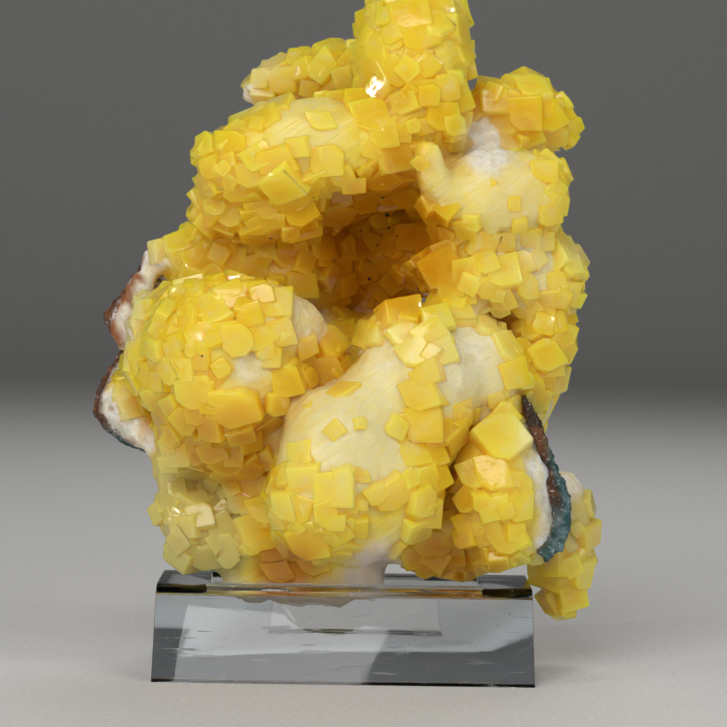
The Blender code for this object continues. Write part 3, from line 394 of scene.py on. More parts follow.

# How the growth is coloured, by spots (x, z, radius, amount) in millimetres on the front elevation: where it
# is warm amber with painted shade, pale, chalky, frosted, lilac or rusty. A spot fades out over SPOT_FADE and
# ends at SPOT_END, as shares of its radius.
SPOT_END = 1.5
SPOT_FADE = 0.75
SPOTS = {
    # Warmth is the crystals' deeper amber and also painted shade: its spots lie in the hollow, under the arm
    # and the fingers and low down, where shade falls.
    "warmth": [
        (7, 84, 12, 0.9), (6, 92, 7, 0.5), (-6, 84, 8, 0.55), (-16, 82, 9, 0.2), (-28, 90, 7, 0.25),
        (-12, 90, 8, 0.2), (-27, 102, 7, 0.15), (11, 101, 5, 0.4), (12, 113, 5, 0.25), (2, 112, 5, 0.2),
        (14, 87, 5, 0.45), (20, 82, 6, 0.25), (1, 76, 6, 0.5), (-34, 46, 8, 0.45), (-24, 43, 8, 0.5),
        (-14, 52, 6, 0.3), (-20, 38, 5, 0.35), (-13, 19.5, 5.5, 0.95), (18, 19, 7, 0.8), (26, 21, 6, 0.5),
        (21, 32, 5, 0.35), (20, 45, 4, 0.4), (26, 49, 4, 0.3), (-4, 62, 7, 0.3), (41, 60, 5, 0.25),
        (43, 14, 5, 0.25), (-38, 72, 4, 0.1), (-7, 57, 4, 0.2), (36, 112, 6, 0.1),
    ],
    "pallor": [
        (-4, 46, 12, 0.75), (4, 42, 8, 0.7), (1, 53, 8, 0.7), (9, 60, 7, 0.6), (23, 60, 9, 0.85),
        (28, 54, 6, 0.8), (-8, 108, 7, 0.4), (26, 96, 10, 0.4), (34, 96, 8, 0.35), (18, 98, 5, 0.3),
        (-10, 69, 6, 0.6), (-14, 77, 5, 0.5), (-19, 57, 6, 0.45), (34, 79, 9, 0.5), (42, 82, 7, 0.45),
        (37, 72, 6, 0.4), (-32, 30, 9, 0.55), (-30, 22, 7, 0.65), (47, 26, 8, 0.55), (47, 33, 5, 0.6),
        (30, 116, 5, 0.3), (38, 42, 6, 0.6), (-14, 118, 6, 0.35), (27, 103, 4, 0.6), (22, 66, 6, 0.5),
        (-36, 38, 5, 0.6), (9, 22, 5, 0.6), (-18, 28, 5, 0.3), (6, 70, 5, 0.3),
    ],
    "chalk": [
        (-40, 82.4, 3.2, 1), (-42, 77, 3, 1), (-45.4, 71, 3.6, 1), (-46, 66.6, 2.8, 1), (-48.6, 52, 3.8, 1),
        (-45.6, 48.6, 3.4, 1), (-41.6, 45.4, 2.6, 0.9),
        (38.6, 40, 3, 1), (40.4, 34, 3, 1), (41, 29, 2.6, 1), (36.8, 47, 2.6, 1), (39.6, 25, 2.4, 1),
        (27.6, 103.4, 4, 0.9), (25.6, 107, 3, 0.9), (-17, 121, 3, 0.8), (-20, 114, 2.5, 0.8),
        (44, 37, 3, 0.8), (46, 84, 3, 0.6), (37, 82, 3, 0.5), (-20, 60, 3, 0.5),
        (22, 61, 5, 0.35), (27, 67, 5, 0.3), (7.5, 64, 4.5, 0.3), (-8.5, 69, 4, 0.35),
    ],
    "frost": [
        (-32, 30, 8, 0.85), (-30, 22, 7, 0.95), (-24, 26, 5, 0.5), (-37, 38, 5, 0.9), (45, 33.6, 5, 0.8),
        (47, 27, 6, 0.35),
    ],
    "lilac": [
        (-24, 11, 5.4, 0.95), (-16, 10, 5.4, 0.95), (-9, 10, 5.4, 0.95), (-2, 11, 5.4, 0.95),
        (4, 15, 6, 0.95), (5, 20.5, 4, 0.85),
    ],
    "rust": [
        (-41.6, 81.4, 1, 1), (-42.4, 78, 1.1, 1), (-43.8, 76, 1.2, 1), (-45.6, 74.2, 1.3, 1),
        (-47.4, 72, 1.2, 1), (-48, 69.4, 1.2, 1), (-47, 66.8, 1, 1), (-46, 64.8, 0.9, 1),
        (-43.8, 73, 0.6, 0.8), (-45, 67, 0.5, 0.8), (-48.8, 58.4, 1, 1), (-50, 56, 1, 1),
        (-50.6, 53.4, 0.9, 1), (-49.4, 48.6, 0.7, 0.9), (-47, 46.8, 0.7, 0.9), (-44, 45, 0.7, 0.8),
        (-47.6, 52, 0.5, 0.7), (-24, 53, 0.6, 0.6), (-6, 22, 1, 0.5),
    ],
}

# Small dark grains in the hollow and by it, as (x, z, side) on the front elevation.
SPECKS = [
    (6.6, 94.2, 0.8), (7.4, 90.6, 1.2), (7.8, 88, 0.7), (4, 81.2, 0.7), (3.8, 77.8, 1), (-15.8, 86, 0.7),
    (9.4, 86.4, 0.5), (5.4, 84.6, 0.5), (-29.6, 62.4, 0.6), (2.2, 87.4, 0.5),
]

# How deep a place lies: rays over the body's skin, the share of the half-sphere over it that they fill, where
# they start and how far they reach in millimetres, how much painted shade, as a warmer and darker amber,
# a place takes by the share of them that meets the body again, and the most that this adds.
RECESS_RAYS = 16
RECESS_SPAN = 0.9
RECESS_START = 0.8
RECESS_REACH = 14.0
RECESS_SHADE = 0.9
MOST_RECESS_SHADE = 0.9


def rolled(x, z, angle):
    """The point or points (x, z) turned by the angle, in degrees, about the middle of the view."""
    turn = math.radians(angle)
    across, up = x - VIEW_MIDDLE[0], z - VIEW_MIDDLE[1]
    return (
        VIEW_MIDDLE[0] + across * math.cos(turn) - up * math.sin(turn),
        VIEW_MIDDLE[1] + across * math.sin(turn) + up * math.cos(turn),
    )


def sight(x, z, y):
    """The point, in metres, that stands at depth y on the line of sight through (x, z) of the elevation."""
    k = (EYE_DISTANCE + y) / EYE_DISTANCE
    x, z = rolled(x, z, EYE_ROLL)
    return Vector((x * k, y, EYE_HEIGHT + (z - EYE_HEIGHT) * k)) * MM


def elevation(x, y, z):
    """The (x, z) on the front elevation at which the eye sees a point, or points in an array, in mm."""
    k = (EYE_DISTANCE + y) / EYE_DISTANCE
    return rolled(x / k, EYE_HEIGHT + (z - EYE_HEIGHT) / k, -EYE_ROLL)


# ---------------------------------------------------------------- meshes


def workshop():
    """The collection that holds what is only used to build the pieces."""
    return bpy.data.collections.get("workshop") or new_collection("workshop")


def new_collection(name):
    """A new collection in the scene."""
    made = bpy.data.collections.new(name)
    bpy.context.scene.collection.children.link(made)
    return made


def new_object(name, mesh, where=None):
    """An object in a collection, the scene's own where none is given."""
    made = bpy.data.objects.new(name, mesh)
    (where or bpy.context.scene.collection).objects.link(made)
    return made


def to_mesh(name, bm):
    """A mesh made from bm, which is freed."""
    mesh = bpy.data.meshes.new(name)
    bm.to_mesh(mesh)
    bm.free()
    return mesh


def in_workshop(name, bm):
    """An object in the workshop, made from bm, which is freed."""
    return new_object(name, to_mesh(name, bm), workshop())


def new_vertices(made):
    """The vertices among what a bmesh operation made."""
    return [part for part in made["geom"] if isinstance(part, bmesh.types.BMVert)]


def vertex_values(mesh, what):
    """The places or the normals of the mesh's vertices, as an array for each axis."""
    values = np.empty(len(mesh.vertices) * 3)
    mesh.vertices.foreach_get(what, values)
    return values.reshape(-1, 3).T


def paint(mesh, name, values):
    """Paints the values on the mesh's vertices, as an attribute."""
    mesh.attributes.new(name, "FLOAT", "POINT").data.foreach_set("value", values)


def push(mesh, offsets):
    """Moves each of the mesh's vertices by its offset."""
    for vertex, offset in zip(mesh.vertices, offsets):
        vertex.co += offset


def skin_of(mesh, shift=Vector()):
    """The mesh's skin, moved by the shift, for rays to meet."""
    return BVHTree.FromPolygons([v.co + shift for v in mesh.vertices], [p.vertices for p in mesh.polygons])


def modify(thing, name, kind, **settings):
    """Gives the thing a modifier with these settings."""
    made = thing.modifiers.new(name, kind)
    for setting, value in settings.items():
        setattr(made, setting, value)
    return made


def settle(thing):
    """Carries out the thing's modifiers for good."""
    bpy.context.view_layer.update()
    shown = thing.evaluated_get(bpy.context.evaluated_depsgraph_get())
    mesh = bpy.data.meshes.new_from_object(shown)
    thing.modifiers.clear()
    thing.data = mesh


def combine(thing, other, operation):
    """Joins other to the thing, or cuts it out, for good, and removes other."""
    modify(thing, other.name, "BOOLEAN", operation=operation, solver="MANIFOLD", object=other)
    settle(thing)
    bpy.data.objects.remove(other)


def in_order(mesh):
    """The mesh with its corners and faces in an order that is the same each run, whatever a solver left."""
    places = sorted(range(len(mesh.vertices)), key=lambda i: mesh.vertices[i].co.dot(ORDER))
    rank = {index: number for number, index in enumerate(places)}
    faces = []
    for face in mesh.polygons:
        corners = [rank[index] for index in face.vertices]
        least = corners.index(min(corners))
        faces.append(corners[least:] + corners[:least])
    made = bpy.data.meshes.new(mesh.name)
    made.from_pydata([mesh.vertices[i].co for i in places], [], sorted(faces))
    return made


def keep_largest(mesh):
    """Removes every chip and closed pocket, and leaves the mesh's largest connected skin."""
    bm = bmesh.new()
    bm.from_mesh(mesh)
    unseen = set(bm.verts)
    skins = []
    while unseen:
        growing = [unseen.pop()]
        skin = list(growing)
        while growing:
            found = {v for edge in growing.pop().link_edges for v in edge.verts if v in unseen}
            unseen -= found
            growing.extend(found)
            skin.extend(found)
        skins.append(skin)
    largest = max(skins, key=len)
    for skin in skins:
        if skin is not largest:
            bmesh.ops.delete(bm, geom=skin, context="VERTS")
    bm.to_mesh(mesh)
    bm.free()


def wear_coats(mesh, coats, choice=None):
    """Gives the mesh these materials, by an attribute of its faces that numbers them or all the first."""
    mesh.materials.clear()
    for coat in coats:
        mesh.materials.append(coat)
    numbers = np.zeros(len(mesh.polygons))
    if choice:
        mesh.attributes[choice].data.foreach_get("value", numbers)
    mesh.polygons.foreach_set("material_index", np.rint(numbers).astype(np.int32))


def catch_light(thing):
    """Turns the normals of the narrow faces along the crystals' edges gradually from side to side."""
    thing.data.shade_smooth()
    thing.data.set_sharp_from_angle(angle=SHARP_ANGLE)
    modify(thing, "edge_light", "WEIGHTED_NORMAL", keep_sharp=True)
    settle(thing)


def finish_piece(piece, node):
    """Moves the piece's mesh home, and lets it ride in place of its CAD node."""
    piece.data.transform(Matrix.Translation(HOME))
    for collection in list(piece.users_collection):
        collection.objects.unlink(piece)
    bpy.context.scene.collection.objects.link(piece)
    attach(piece, "root")
    if node:
        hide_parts(node)


# ---------------------------------------------------------------- node trees


def feed(tree, made, inputs):
    """Feeds each of the node's inputs by a socket, or sets it to a value."""
    for name, value in inputs.items():
        if isinstance(value, bpy.types.NodeSocket):
            tree.links.new(value, made.inputs[name])
        else:
            made.inputs[name].default_value = value


def add_node(tree, kind, inputs=None, **settings):
    """A node with its settings and its inputs."""
    made = tree.nodes.new(kind)
    for name, value in settings.items():
        setattr(made, name, value)
    feed(tree, made, inputs or {})
    return made


def mix(tree, share, *pair):
    """The mix of a pair of colours, each a socket or a value, by a share."""
    first, second = (c if isinstance(c, bpy.types.NodeSocket) else (*c, 1.0) for c in pair)
    return add_node(tree, "ShaderNodeMix", {0: share, 6: first, 7: second}, data_type="RGBA").outputs[2]


def calculate(tree, operation, *values, clamped=True):
    """The result of a Math node, kept between 0 and 1 where it is clamped."""
    made = add_node(tree, "ShaderNodeMath", dict(enumerate(values)), operation=operation, use_clamp=clamped)
    return made.outputs[0]


def spread(tree, value, low, high, to_low=0.0, to_high=1.0):
    """The value stretched from one range to another, and clamped to it."""
    inputs = {"Value": value, "From Min": low, "From Max": high, "To Min": to_low, "To Max": to_high}
    return add_node(tree, "ShaderNodeMapRange", inputs).outputs[0]


def painted(tree, name):
    """A value painted on the mesh as an attribute."""
    return add_node(tree, "ShaderNodeAttribute", attribute_name=name).outputs["Fac"]


def noisy(tree, place, scale, detail, more=None, **settings):
    """The value of a noise texture at a place."""
    inputs = {"Vector": place, "Scale": scale, "Detail": detail, **(more or {})}
    return add_node(tree, "ShaderNodeTexNoise", inputs, **settings).outputs[0]


def object_place(tree):
    """A place in the object's own coordinates."""
    return add_node(tree, "ShaderNodeTexCoord").outputs["Object"]


def new_group(name, kind, inputs, outputs):
    """A node group: its tree, what its inputs give, and the sockets that take its outputs. An input is named
    with its default or its kind of socket, and an output with its kind."""
    tree = bpy.data.node_groups.new(name, kind)
    for title, value in inputs.items():
        socket = value if isinstance(value, str) else "Float"
        made = tree.interface.new_socket(title, in_out="INPUT", socket_type=f"NodeSocket{socket}")
        if socket != value:
            made.default_value = value
    for title, socket in outputs.items():
        tree.interface.new_socket(title, in_out="OUTPUT", socket_type=f"NodeSocket{socket}")
    return tree, tree.nodes.new("NodeGroupInput").outputs, tree.nodes.new("NodeGroupOutput").inputs


def send(tree, result, values):
    """Links the group's outcomes to its outputs by name."""
    for name, value in values.items():
        tree.links.new(value, result[name])


# ---------------------------------------------------------------- the growth


def stations(chain):
    """The chain's spheres (centre, radius) in metres, at steps that a remesh can join smoothly."""
    for (x0, z0, y0, r0), (x1, z1, y1, r1) in zip(chain, chain[1:]):
        steps = max(1, round(math.dist((x0, z0, y0), (x1, z1, y1)) / STATION_STEP))
        for i in range(steps + 1):
            t = i / steps
            centre = sight(x0 + t * (x1 - x0), z0 + t * (z1 - z0), y0 + t * (y1 - y0))
            yield centre, (r0 + t * (r1 - r0)) * MM


def zeolite_body():
    """The zeolite body with its fingers: every chain's spheres melted into one closed skin."""
    bm = bmesh.new()
    for finger, chain in FINGERS.items():
        inset = 0 if finger in BARE_FINGERS else CRUST * MM
        for centre, radius in stations(chain):
            at = Matrix.Translation(centre)
            bmesh.ops.create_icosphere(bm, subdivisions=2, radius=radius - inset, matrix=at)
    body = in_workshop("zeolite_body", bm)
    modify(body, "melt", "REMESH", mode="VOXEL", voxel_size=BODY_VOXEL * MM)
    modify(body, "soften", "SMOOTH", factor=0.5, iterations=BODY_SMOOTHING)
    settle(body)
    return body


def block(name, cut_corners, terraced, rounding, rng):
    """The mesh of a crystal with a side of 1: some upright edges cut off, a terrace on top, worn edges, and
    a slightly uneven plan. It carries own, each corner's place in the even block, and on its faces crystal,
    worn and tint."""
    bm = bmesh.new()
    bmesh.ops.create_cube(bm, size=1.0)
    for vertex in bm.verts:
        if vertex.co.z > 0:
            vertex.co *= 1 - BLOCK_TAPER
        vertex.co *= BLOCK_GIRTH
        vertex.co.z = math.copysign(BLOCK_DEPTH / 2, vertex.co.z)
    upright = [e for e in bm.edges if e.verts[0].co.z * e.verts[1].co.z < 0]
    upright.sort(key=lambda e: e.verts[0].co.x * e.verts[0].co.y)
    if cut_corners:
        bmesh.ops.bevel(bm, geom=upright[-cut_corners:], offset=CORNER_CUT, affect="EDGES")
    if terraced:
        top = max(bm.faces, key=lambda f: f.calc_center_median().z)
        bmesh.ops.inset_region(bm, faces=[top], thickness=TERRACE_STEP, depth=TERRACE_HEIGHT)
        bmesh.ops.translate(bm, verts=top.verts, vec=TERRACE_SHIFT)
    marks = {name: bm.faces.layers.float.new(name) for name in ("crystal", "worn", "tint")}
    above = [e for e in bm.edges if max(v.co.z for v in e.verts) > 0]
    edges = bmesh.ops.bevel(bm, geom=above, offset=rounding, segments=1, affect="EDGES")
    for face in edges["faces"]:
        face[marks["worn"]] = 1.0
    own = bm.loops.layers.float_vector.new("own")
    for face in bm.faces:
        face[marks["crystal"]] = 1.0
        for loop in face.loops:
            loop[own] = loop.vert.co
    pulls = [Vector((rng.uniform(-UNEVEN, UNEVEN), rng.uniform(-UNEVEN, UNEVEN), 0)) for _ in range(4)]
    for vertex in bm.verts:
        x, y = vertex.co.x + 0.5, vertex.co.y + 0.5
        shares = (x * y, x * (1 - y), (1 - x) * y, (1 - x) * (1 - y))
        for pull, share in zip(pulls, shares):
            vertex.co += pull * share
    return to_mesh(name, bm)


def root_on(skin, x, z):
    """Where the crystal at (x, z) on the elevation roots on the skin, and the skin's normal there."""
    eye = sight(x, z, -EYE_DISTANCE / 2)
    point, normal, _, _ = skin.ray_cast(eye, sight(x, z, 0) - eye)
    if point:
        return point, normal
    beside = [skin.find_nearest(sight(x, z, y)) for y in range(-30, 31, 2)]
    point, normal, _, _ = min(beside, key=lambda hit: hit[3])
    return point, normal


def crystal_place(point, normal, eye_pull, turn, edge, rng):
    """The matrix of a crystal rooted at the point, facing along the normal and partly towards the eye."""
    towards_eye = (sight(0, EYE_HEIGHT, -EYE_DISTANCE) - point).normalized()
    facing = (normal + towards_eye * eye_pull).normalized()
    lean = Euler((math.radians(rng.gauss(0, LEAN)), math.radians(rng.gauss(0, LEAN)), math.radians(turn)))
    turned = facing.to_track_quat("Z", "Y").to_matrix() @ lean.to_matrix()
    at = Matrix.Translation(point + facing * edge * LIFT * MM)
    return at @ turned.to_4x4() @ Matrix.Scale(edge * MM, 4)


def is_bare(point):
    """Whether the growth is bare at this point, seen from the front."""
    x, z = elevation(*(point / MM))
    return any(math.dist((x, z), (cx, cz)) < radius for cx, cz, radius in BARE_PATCHES)


def faces_at_random(body, tries, rng):
    """Faces of the body, drawn as often as they are large."""
    faces = body.data.polygons
    return rng.choices(faces, weights=[face.area for face in faces], k=tries)


def large_crystals(body):
    """Every large crystal as (place, cut corners): the ones that stand out, then the ones between them."""
    rng = random.Random(SEED)
    skin = skin_of(body.data)
    grown = []
    rooted = []
    for group in STANDING_CRYSTALS.values():
        for x, z, edge, turn in group:
            point, normal = root_on(skin, x, z)
            edge *= STANDING_SHARE
            rooted.append((point, edge))
            grown.append((crystal_place(point, normal, EYE_PULL, turn, edge, rng), rng.choice(CUT_CORNERS)))
    for face in faces_at_random(body, FILL_TRIES, rng):
        on_front = face.normal.y < FRONT_SIDE
        edge = rng.uniform(*(FRONT_FILL if on_front else BACK_FILL))
        point = face.center.copy()
        crowded = any((point - at).length < CROWDING * (edge + other) / 2 * MM for at, other in rooted)
        if crowded or is_bare(point) or point.z < RISER_HEIGHT * MM:
            continue
        rooted.append((point, edge))
        place = crystal_place(point, face.normal, 0, rng.uniform(0, 90), edge, rng)
        grown.append((place, rng.choice(CUT_CORNERS)))
    return grown


def younger_crystals(body, grown):
    """The crystals that grew into the gaps between the large ones and flush on the bare fingers."""
    rng = random.Random(SEED + 4)
    rooted = [(place.translation, place.median_scale) for place, _ in grown]
    young = []
    for face in faces_at_random(body, YOUNG_TRIES, rng):
        point = face.center.copy()
        sides, room, sink = YOUNG_CRYSTALS, YOUNG_CROWDING, YOUNG_SINK
        if is_bare(point):
            sides, room, sink = FLUSH_CRYSTALS, FLUSH_CROWDING, FLUSH_SINK
        edge = rng.uniform(*sides) * MM
        crowded = any((point - at).length < room * (edge + other) / 2 for at, other in rooted)
        if crowded or point.z < (RISER_HEIGHT + 1) * MM:
            continue
        rooted.append((point, edge))
        place = crystal_place(point, face.normal, YOUNG_EYE_PULL, rng.uniform(0, 90), edge / MM, rng)
        sunk = Matrix.Translation((0, 0, -rng.uniform(*sink)))
        young.append((place @ sunk, rng.choice(CUT_CORNERS)))
    return young


def spot_strength(name, x, z):
    """The combined strength of a kind of spots at arrays of places on the elevation."""
    left = np.ones(np.shape(x))
    for cx, cz, radius, amount in SPOTS[name]:
        away = np.hypot(x - cx, z - cz) / radius
        fade = np.clip((SPOT_END - away) / SPOT_FADE, 0, 1)
        left = left * (1 - amount * fade * fade * (3 - 2 * fade))
    return 1 - left


def smoothness(point):
    """How strongly a place is chalky or part of the lilac foot, where no crystals grow."""
    x, z = elevation(*(point / MM))
    return max(spot_strength("chalk", x, z), spot_strength("lilac", x, z))


def with_companions(grown, share):
    """The crystals, and on a share of them a smaller one that has grown on nearly parallel."""
    rng = random.Random(SEED + 1)
    both = list(grown)
    for place, _ in grown:
        if rng.random() < share:
            x, y = (rng.choice((-1, 1)) * COMPANION_ASIDE for _ in range(2))
            aside = Matrix.Translation((x, y, COMPANION_LIFT))
            lean = Euler([math.radians(rng.gauss(0, COMPANION_LEAN)) for _ in range(3)])
            smaller = Matrix.Scale(rng.uniform(*COMPANION_SIDES), 4)
            both.append((place @ aside @ lean.to_matrix().to_4x4() @ smaller, rng.choice(CUT_CORNERS)))
    return both


def layers_apart(grown):
    """Deals the crystals into layers in which none touches another."""
    layers = []
    for place, cut_corners in grown:
        reach = place.median_scale
        for layer in layers:
            if all((place.translation - o.translation).length > reach + o.median_scale for o, _ in layer):
                layer.append((place, cut_corners))
                break
        else:
            layers.append([(place, cut_corners)])
    return layers


def layer_of_blocks(name, layer, blocks, rng):
    """One layer of crystals as an object of separate blocks, each with a tint and proportions of its own."""
    bm = bmesh.new()
    for place, cut_corners in layer:
        before = len(bm.verts)
        bm.from_mesh(blocks[cut_corners + rng.choice((0, 0, 1)), rng.randrange(BLOCK_FORMS)])
        bm.verts.ensure_lookup_table()
        uneven = Matrix.Diagonal((*(rng.uniform(*sides) for sides in BLOCK_SIDES), 1))
        uneven[0][1] = rng.uniform(-BLOCK_SKEW, BLOCK_SKEW)
        bmesh.ops.transform(bm, matrix=place @ uneven, verts=bm.verts[before:])
        tint, share = bm.faces.layers.float["tint"], rng.random()
        for face in {f for v in bm.verts[before:] for f in v.link_faces}:
            face[tint] = share
    return in_workshop(name, bm)


def random_value(tree, low, high, seed):
    """A random number or vector, drawn for each point."""
    number = 0 if isinstance(low, tuple) else 1
    inputs = {2 * number: low, 2 * number + 1: high, "Seed": seed}
    kind = ("FLOAT_VECTOR", "FLOAT")[number]
    return add_node(tree, "FunctionNodeRandomValue", inputs, data_type=kind).outputs[number]


def named(tree, name):
    """The value of a named attribute."""
    return add_node(tree, "GeometryNodeInputNamedAttribute", {"Name": name}, data_type="FLOAT").outputs[0]


def marked(tree, geometry, name, value, domain):
    """The geometry with a named attribute."""
    inputs = {"Geometry": geometry, "Name": name, "Value": value}
    made = add_node(tree, "GeometryNodeStoreNamedAttribute", inputs, data_type="FLOAT", domain=domain)
    return made.outputs[0]


def laid_on(tree, points, thing, rotation, side):
    """Copies of the thing, turned and with their sides, on the points."""
    shape = add_node(tree, "GeometryNodeObjectInfo", {"Object": thing}).outputs["Geometry"]
    return add_node(tree, "GeometryNodeInstanceOnPoints", {
        "Points": points, "Instance": shape, "Rotation": rotation, "Scale": side,
    }).outputs[0]


def made_real(tree, geometry):
    """The instances as mesh."""
    return add_node(tree, "GeometryNodeRealizeInstances", {"Geometry": geometry}).outputs[0]


def coated(tree, geometry, coat):
    """The geometry in a material."""
    return add_node(tree, "GeometryNodeSetMaterial", {"Geometry": geometry, "Material": coat}).outputs[0]


def small_crystal_tree(seed, layers):
    """A geometry node tree that crusts its mesh with layers of small crystals and joins them to it."""
    tree, given, result = new_group("small_crystals", "GeometryNodeTree", {
        "Geometry": "Geometry", "Block": "Object", "Spacing": "Float", "Smallest": "Float",
        "Largest": "Float", "Coat": "Material",
    }, {"Geometry": "Geometry"})
    joined = add_node(tree, "GeometryNodeMeshBoolean", operation="UNION", solver="MANIFOLD")
    tree.links.new(given["Geometry"], joined.inputs["Mesh 2"])
    room = named(tree, "room")
    crowd = SMALL_CROWD
    for _ in range(2):
        crowd = calculate(tree, "DIVIDE", crowd, given["Spacing"], clamped=False)
    for first in range(seed, seed + layers):
        scattered = add_node(tree, "GeometryNodeDistributePointsOnFaces", {
            "Mesh": given["Geometry"], "Distance Min": given["Spacing"], "Density Max": crowd,
            "Density Factor": room, "Seed": first,
        }, distribute_method="POISSON").outputs
        tip = random_value(tree, tuple(-a for a in SMALL_TIP), SMALL_TIP, first + 20)
        side = random_value(tree, given["Smallest"], given["Largest"], first + 40)
        tipped = add_node(tree, "FunctionNodeEulerToRotation", {"Euler": tip}).outputs[0]
        turned = add_node(tree, "FunctionNodeRotateRotation", {
            "Rotation": scattered["Rotation"], "Rotate By": tipped,
        }, rotation_space="LOCAL").outputs[0]
        grown = laid_on(tree, scattered["Points"], given["Block"], turned, side)
        tint = random_value(tree, 0.0, 1.0, first + 60)
        grown = made_real(tree, marked(tree, grown, "tint_of_one", tint, "INSTANCE"))
        grown = marked(tree, grown, "tint", named(tree, "tint_of_one"), "FACE")
        tree.links.new(coated(tree, grown, given["Coat"]), joined.inputs["Mesh 2"])
    send(tree, result, {"Geometry": made_real(tree, joined.outputs["Mesh"])})
    return tree


def grow_through(thing, tree, values):
    """Runs the thing through a geometry node tree with the named inputs, for good."""
    sockets = {item.name: item.identifier for item in tree.interface.items_tree if item.in_out == "INPUT"}
    growth = modify(thing, tree.name, "NODES", node_group=tree)
    for name, value in values.items():
        growth[sockets[name]] = value
    settle(thing)


def coarsen(thing, triangles):
    """Joins faces that hardly turn until the thing has about this many triangles."""
    modify(thing, "fewer", "DECIMATE", ratio=triangles / (2 * len(thing.data.polygons)))
    settle(thing)


def paint_room(body):
    """Paints room on the body: where small crystals may grow, which is sparse on the bare fingers."""
    values = []
    for vertex in body.data.vertices:
        open_air = vertex.co.z > (RISER_HEIGHT + 1) * MM and smoothness(vertex.co) < MOST_CHALK
        values.append((BARE_ROOM if is_bare(vertex.co) else 1.0) if open_air else 0.0)
    paint(body.data, "room", values)


def recesses(body):
    """How deep each vertex of the body lies, as the share of the rays over it that meet the body again."""
    skin = skin_of(body.data)
    golden = math.pi * (3 - math.sqrt(5))
    rays = []
    for i in range(RECESS_RAYS):
        up = 1 - (i + 0.5) / RECESS_RAYS * RECESS_SPAN
        flat = math.sqrt(1 - up * up)
        rays.append(Vector((flat * math.cos(golden * i), flat * math.sin(golden * i), up)))
    depths = []
    for vertex in body.data.vertices:
        turned = vertex.normal.to_track_quat("Z", "Y")
        start = vertex.co + vertex.normal * RECESS_START * MM
        met = sum(skin.ray_cast(start, turned @ ray, RECESS_REACH * MM)[0] is not None for ray in rays)
        depths.append(met / RECESS_RAYS)
    return depths


def paint_growth(mesh, body, depths):
    """Paints every kind of spots on the mesh, and adds painted shade to the warmth by how deep the place
    lies.
    """
    tree = KDTree(len(body.data.vertices))
    for index, vertex in enumerate(body.data.vertices):
        tree.insert(vertex.co, index)
    tree.balance()
    recess = np.array([depths[tree.find(v.co)[1]] for v in mesh.vertices])
    across, up = elevation(*vertex_values(mesh, "co") / MM)
    for name in SPOTS:
        strength = spot_strength(name, across, up)
        # Painted shade: the deeper a place lies among the fingers, the warmer and darker amber it is painted.
        if name == "warmth":
            strength = 1 - (1 - strength) * (1 - np.clip(recess * RECESS_SHADE, 0, MOST_RECESS_SHADE))
        paint(mesh, name, strength)


def lump(mesh, height, scale):
    """Pushes the mesh's vertices along their normals by a fractal noise, in long ridges as of a fan, and
    most where it is chalky."""
    offsets = []
    for vertex in mesh.vertices:
        swell = noise.fractal(vertex.co * scale, 0.8, 2.0, 4, noise_basis="PERLIN_ORIGINAL")
        along = Vector((vertex.co.x + vertex.co.z * 0.3, vertex.co.y, vertex.co.z * 0.22)) * scale * 2.4
        ridge = 0.5 - 2 * abs(noise.noise(along))
        chips = noise.voronoi(vertex.co * scale * 2.2)[0]
        chalk = smoothness(vertex.co) * (1.6 * swell - 2.2 * (chips[1] - chips[0]) + 0.4)
        offsets.append(vertex.normal * height * (swell + ridge + chalk))
    push(mesh, offsets)


# ---------------------------------------------------------------- materials


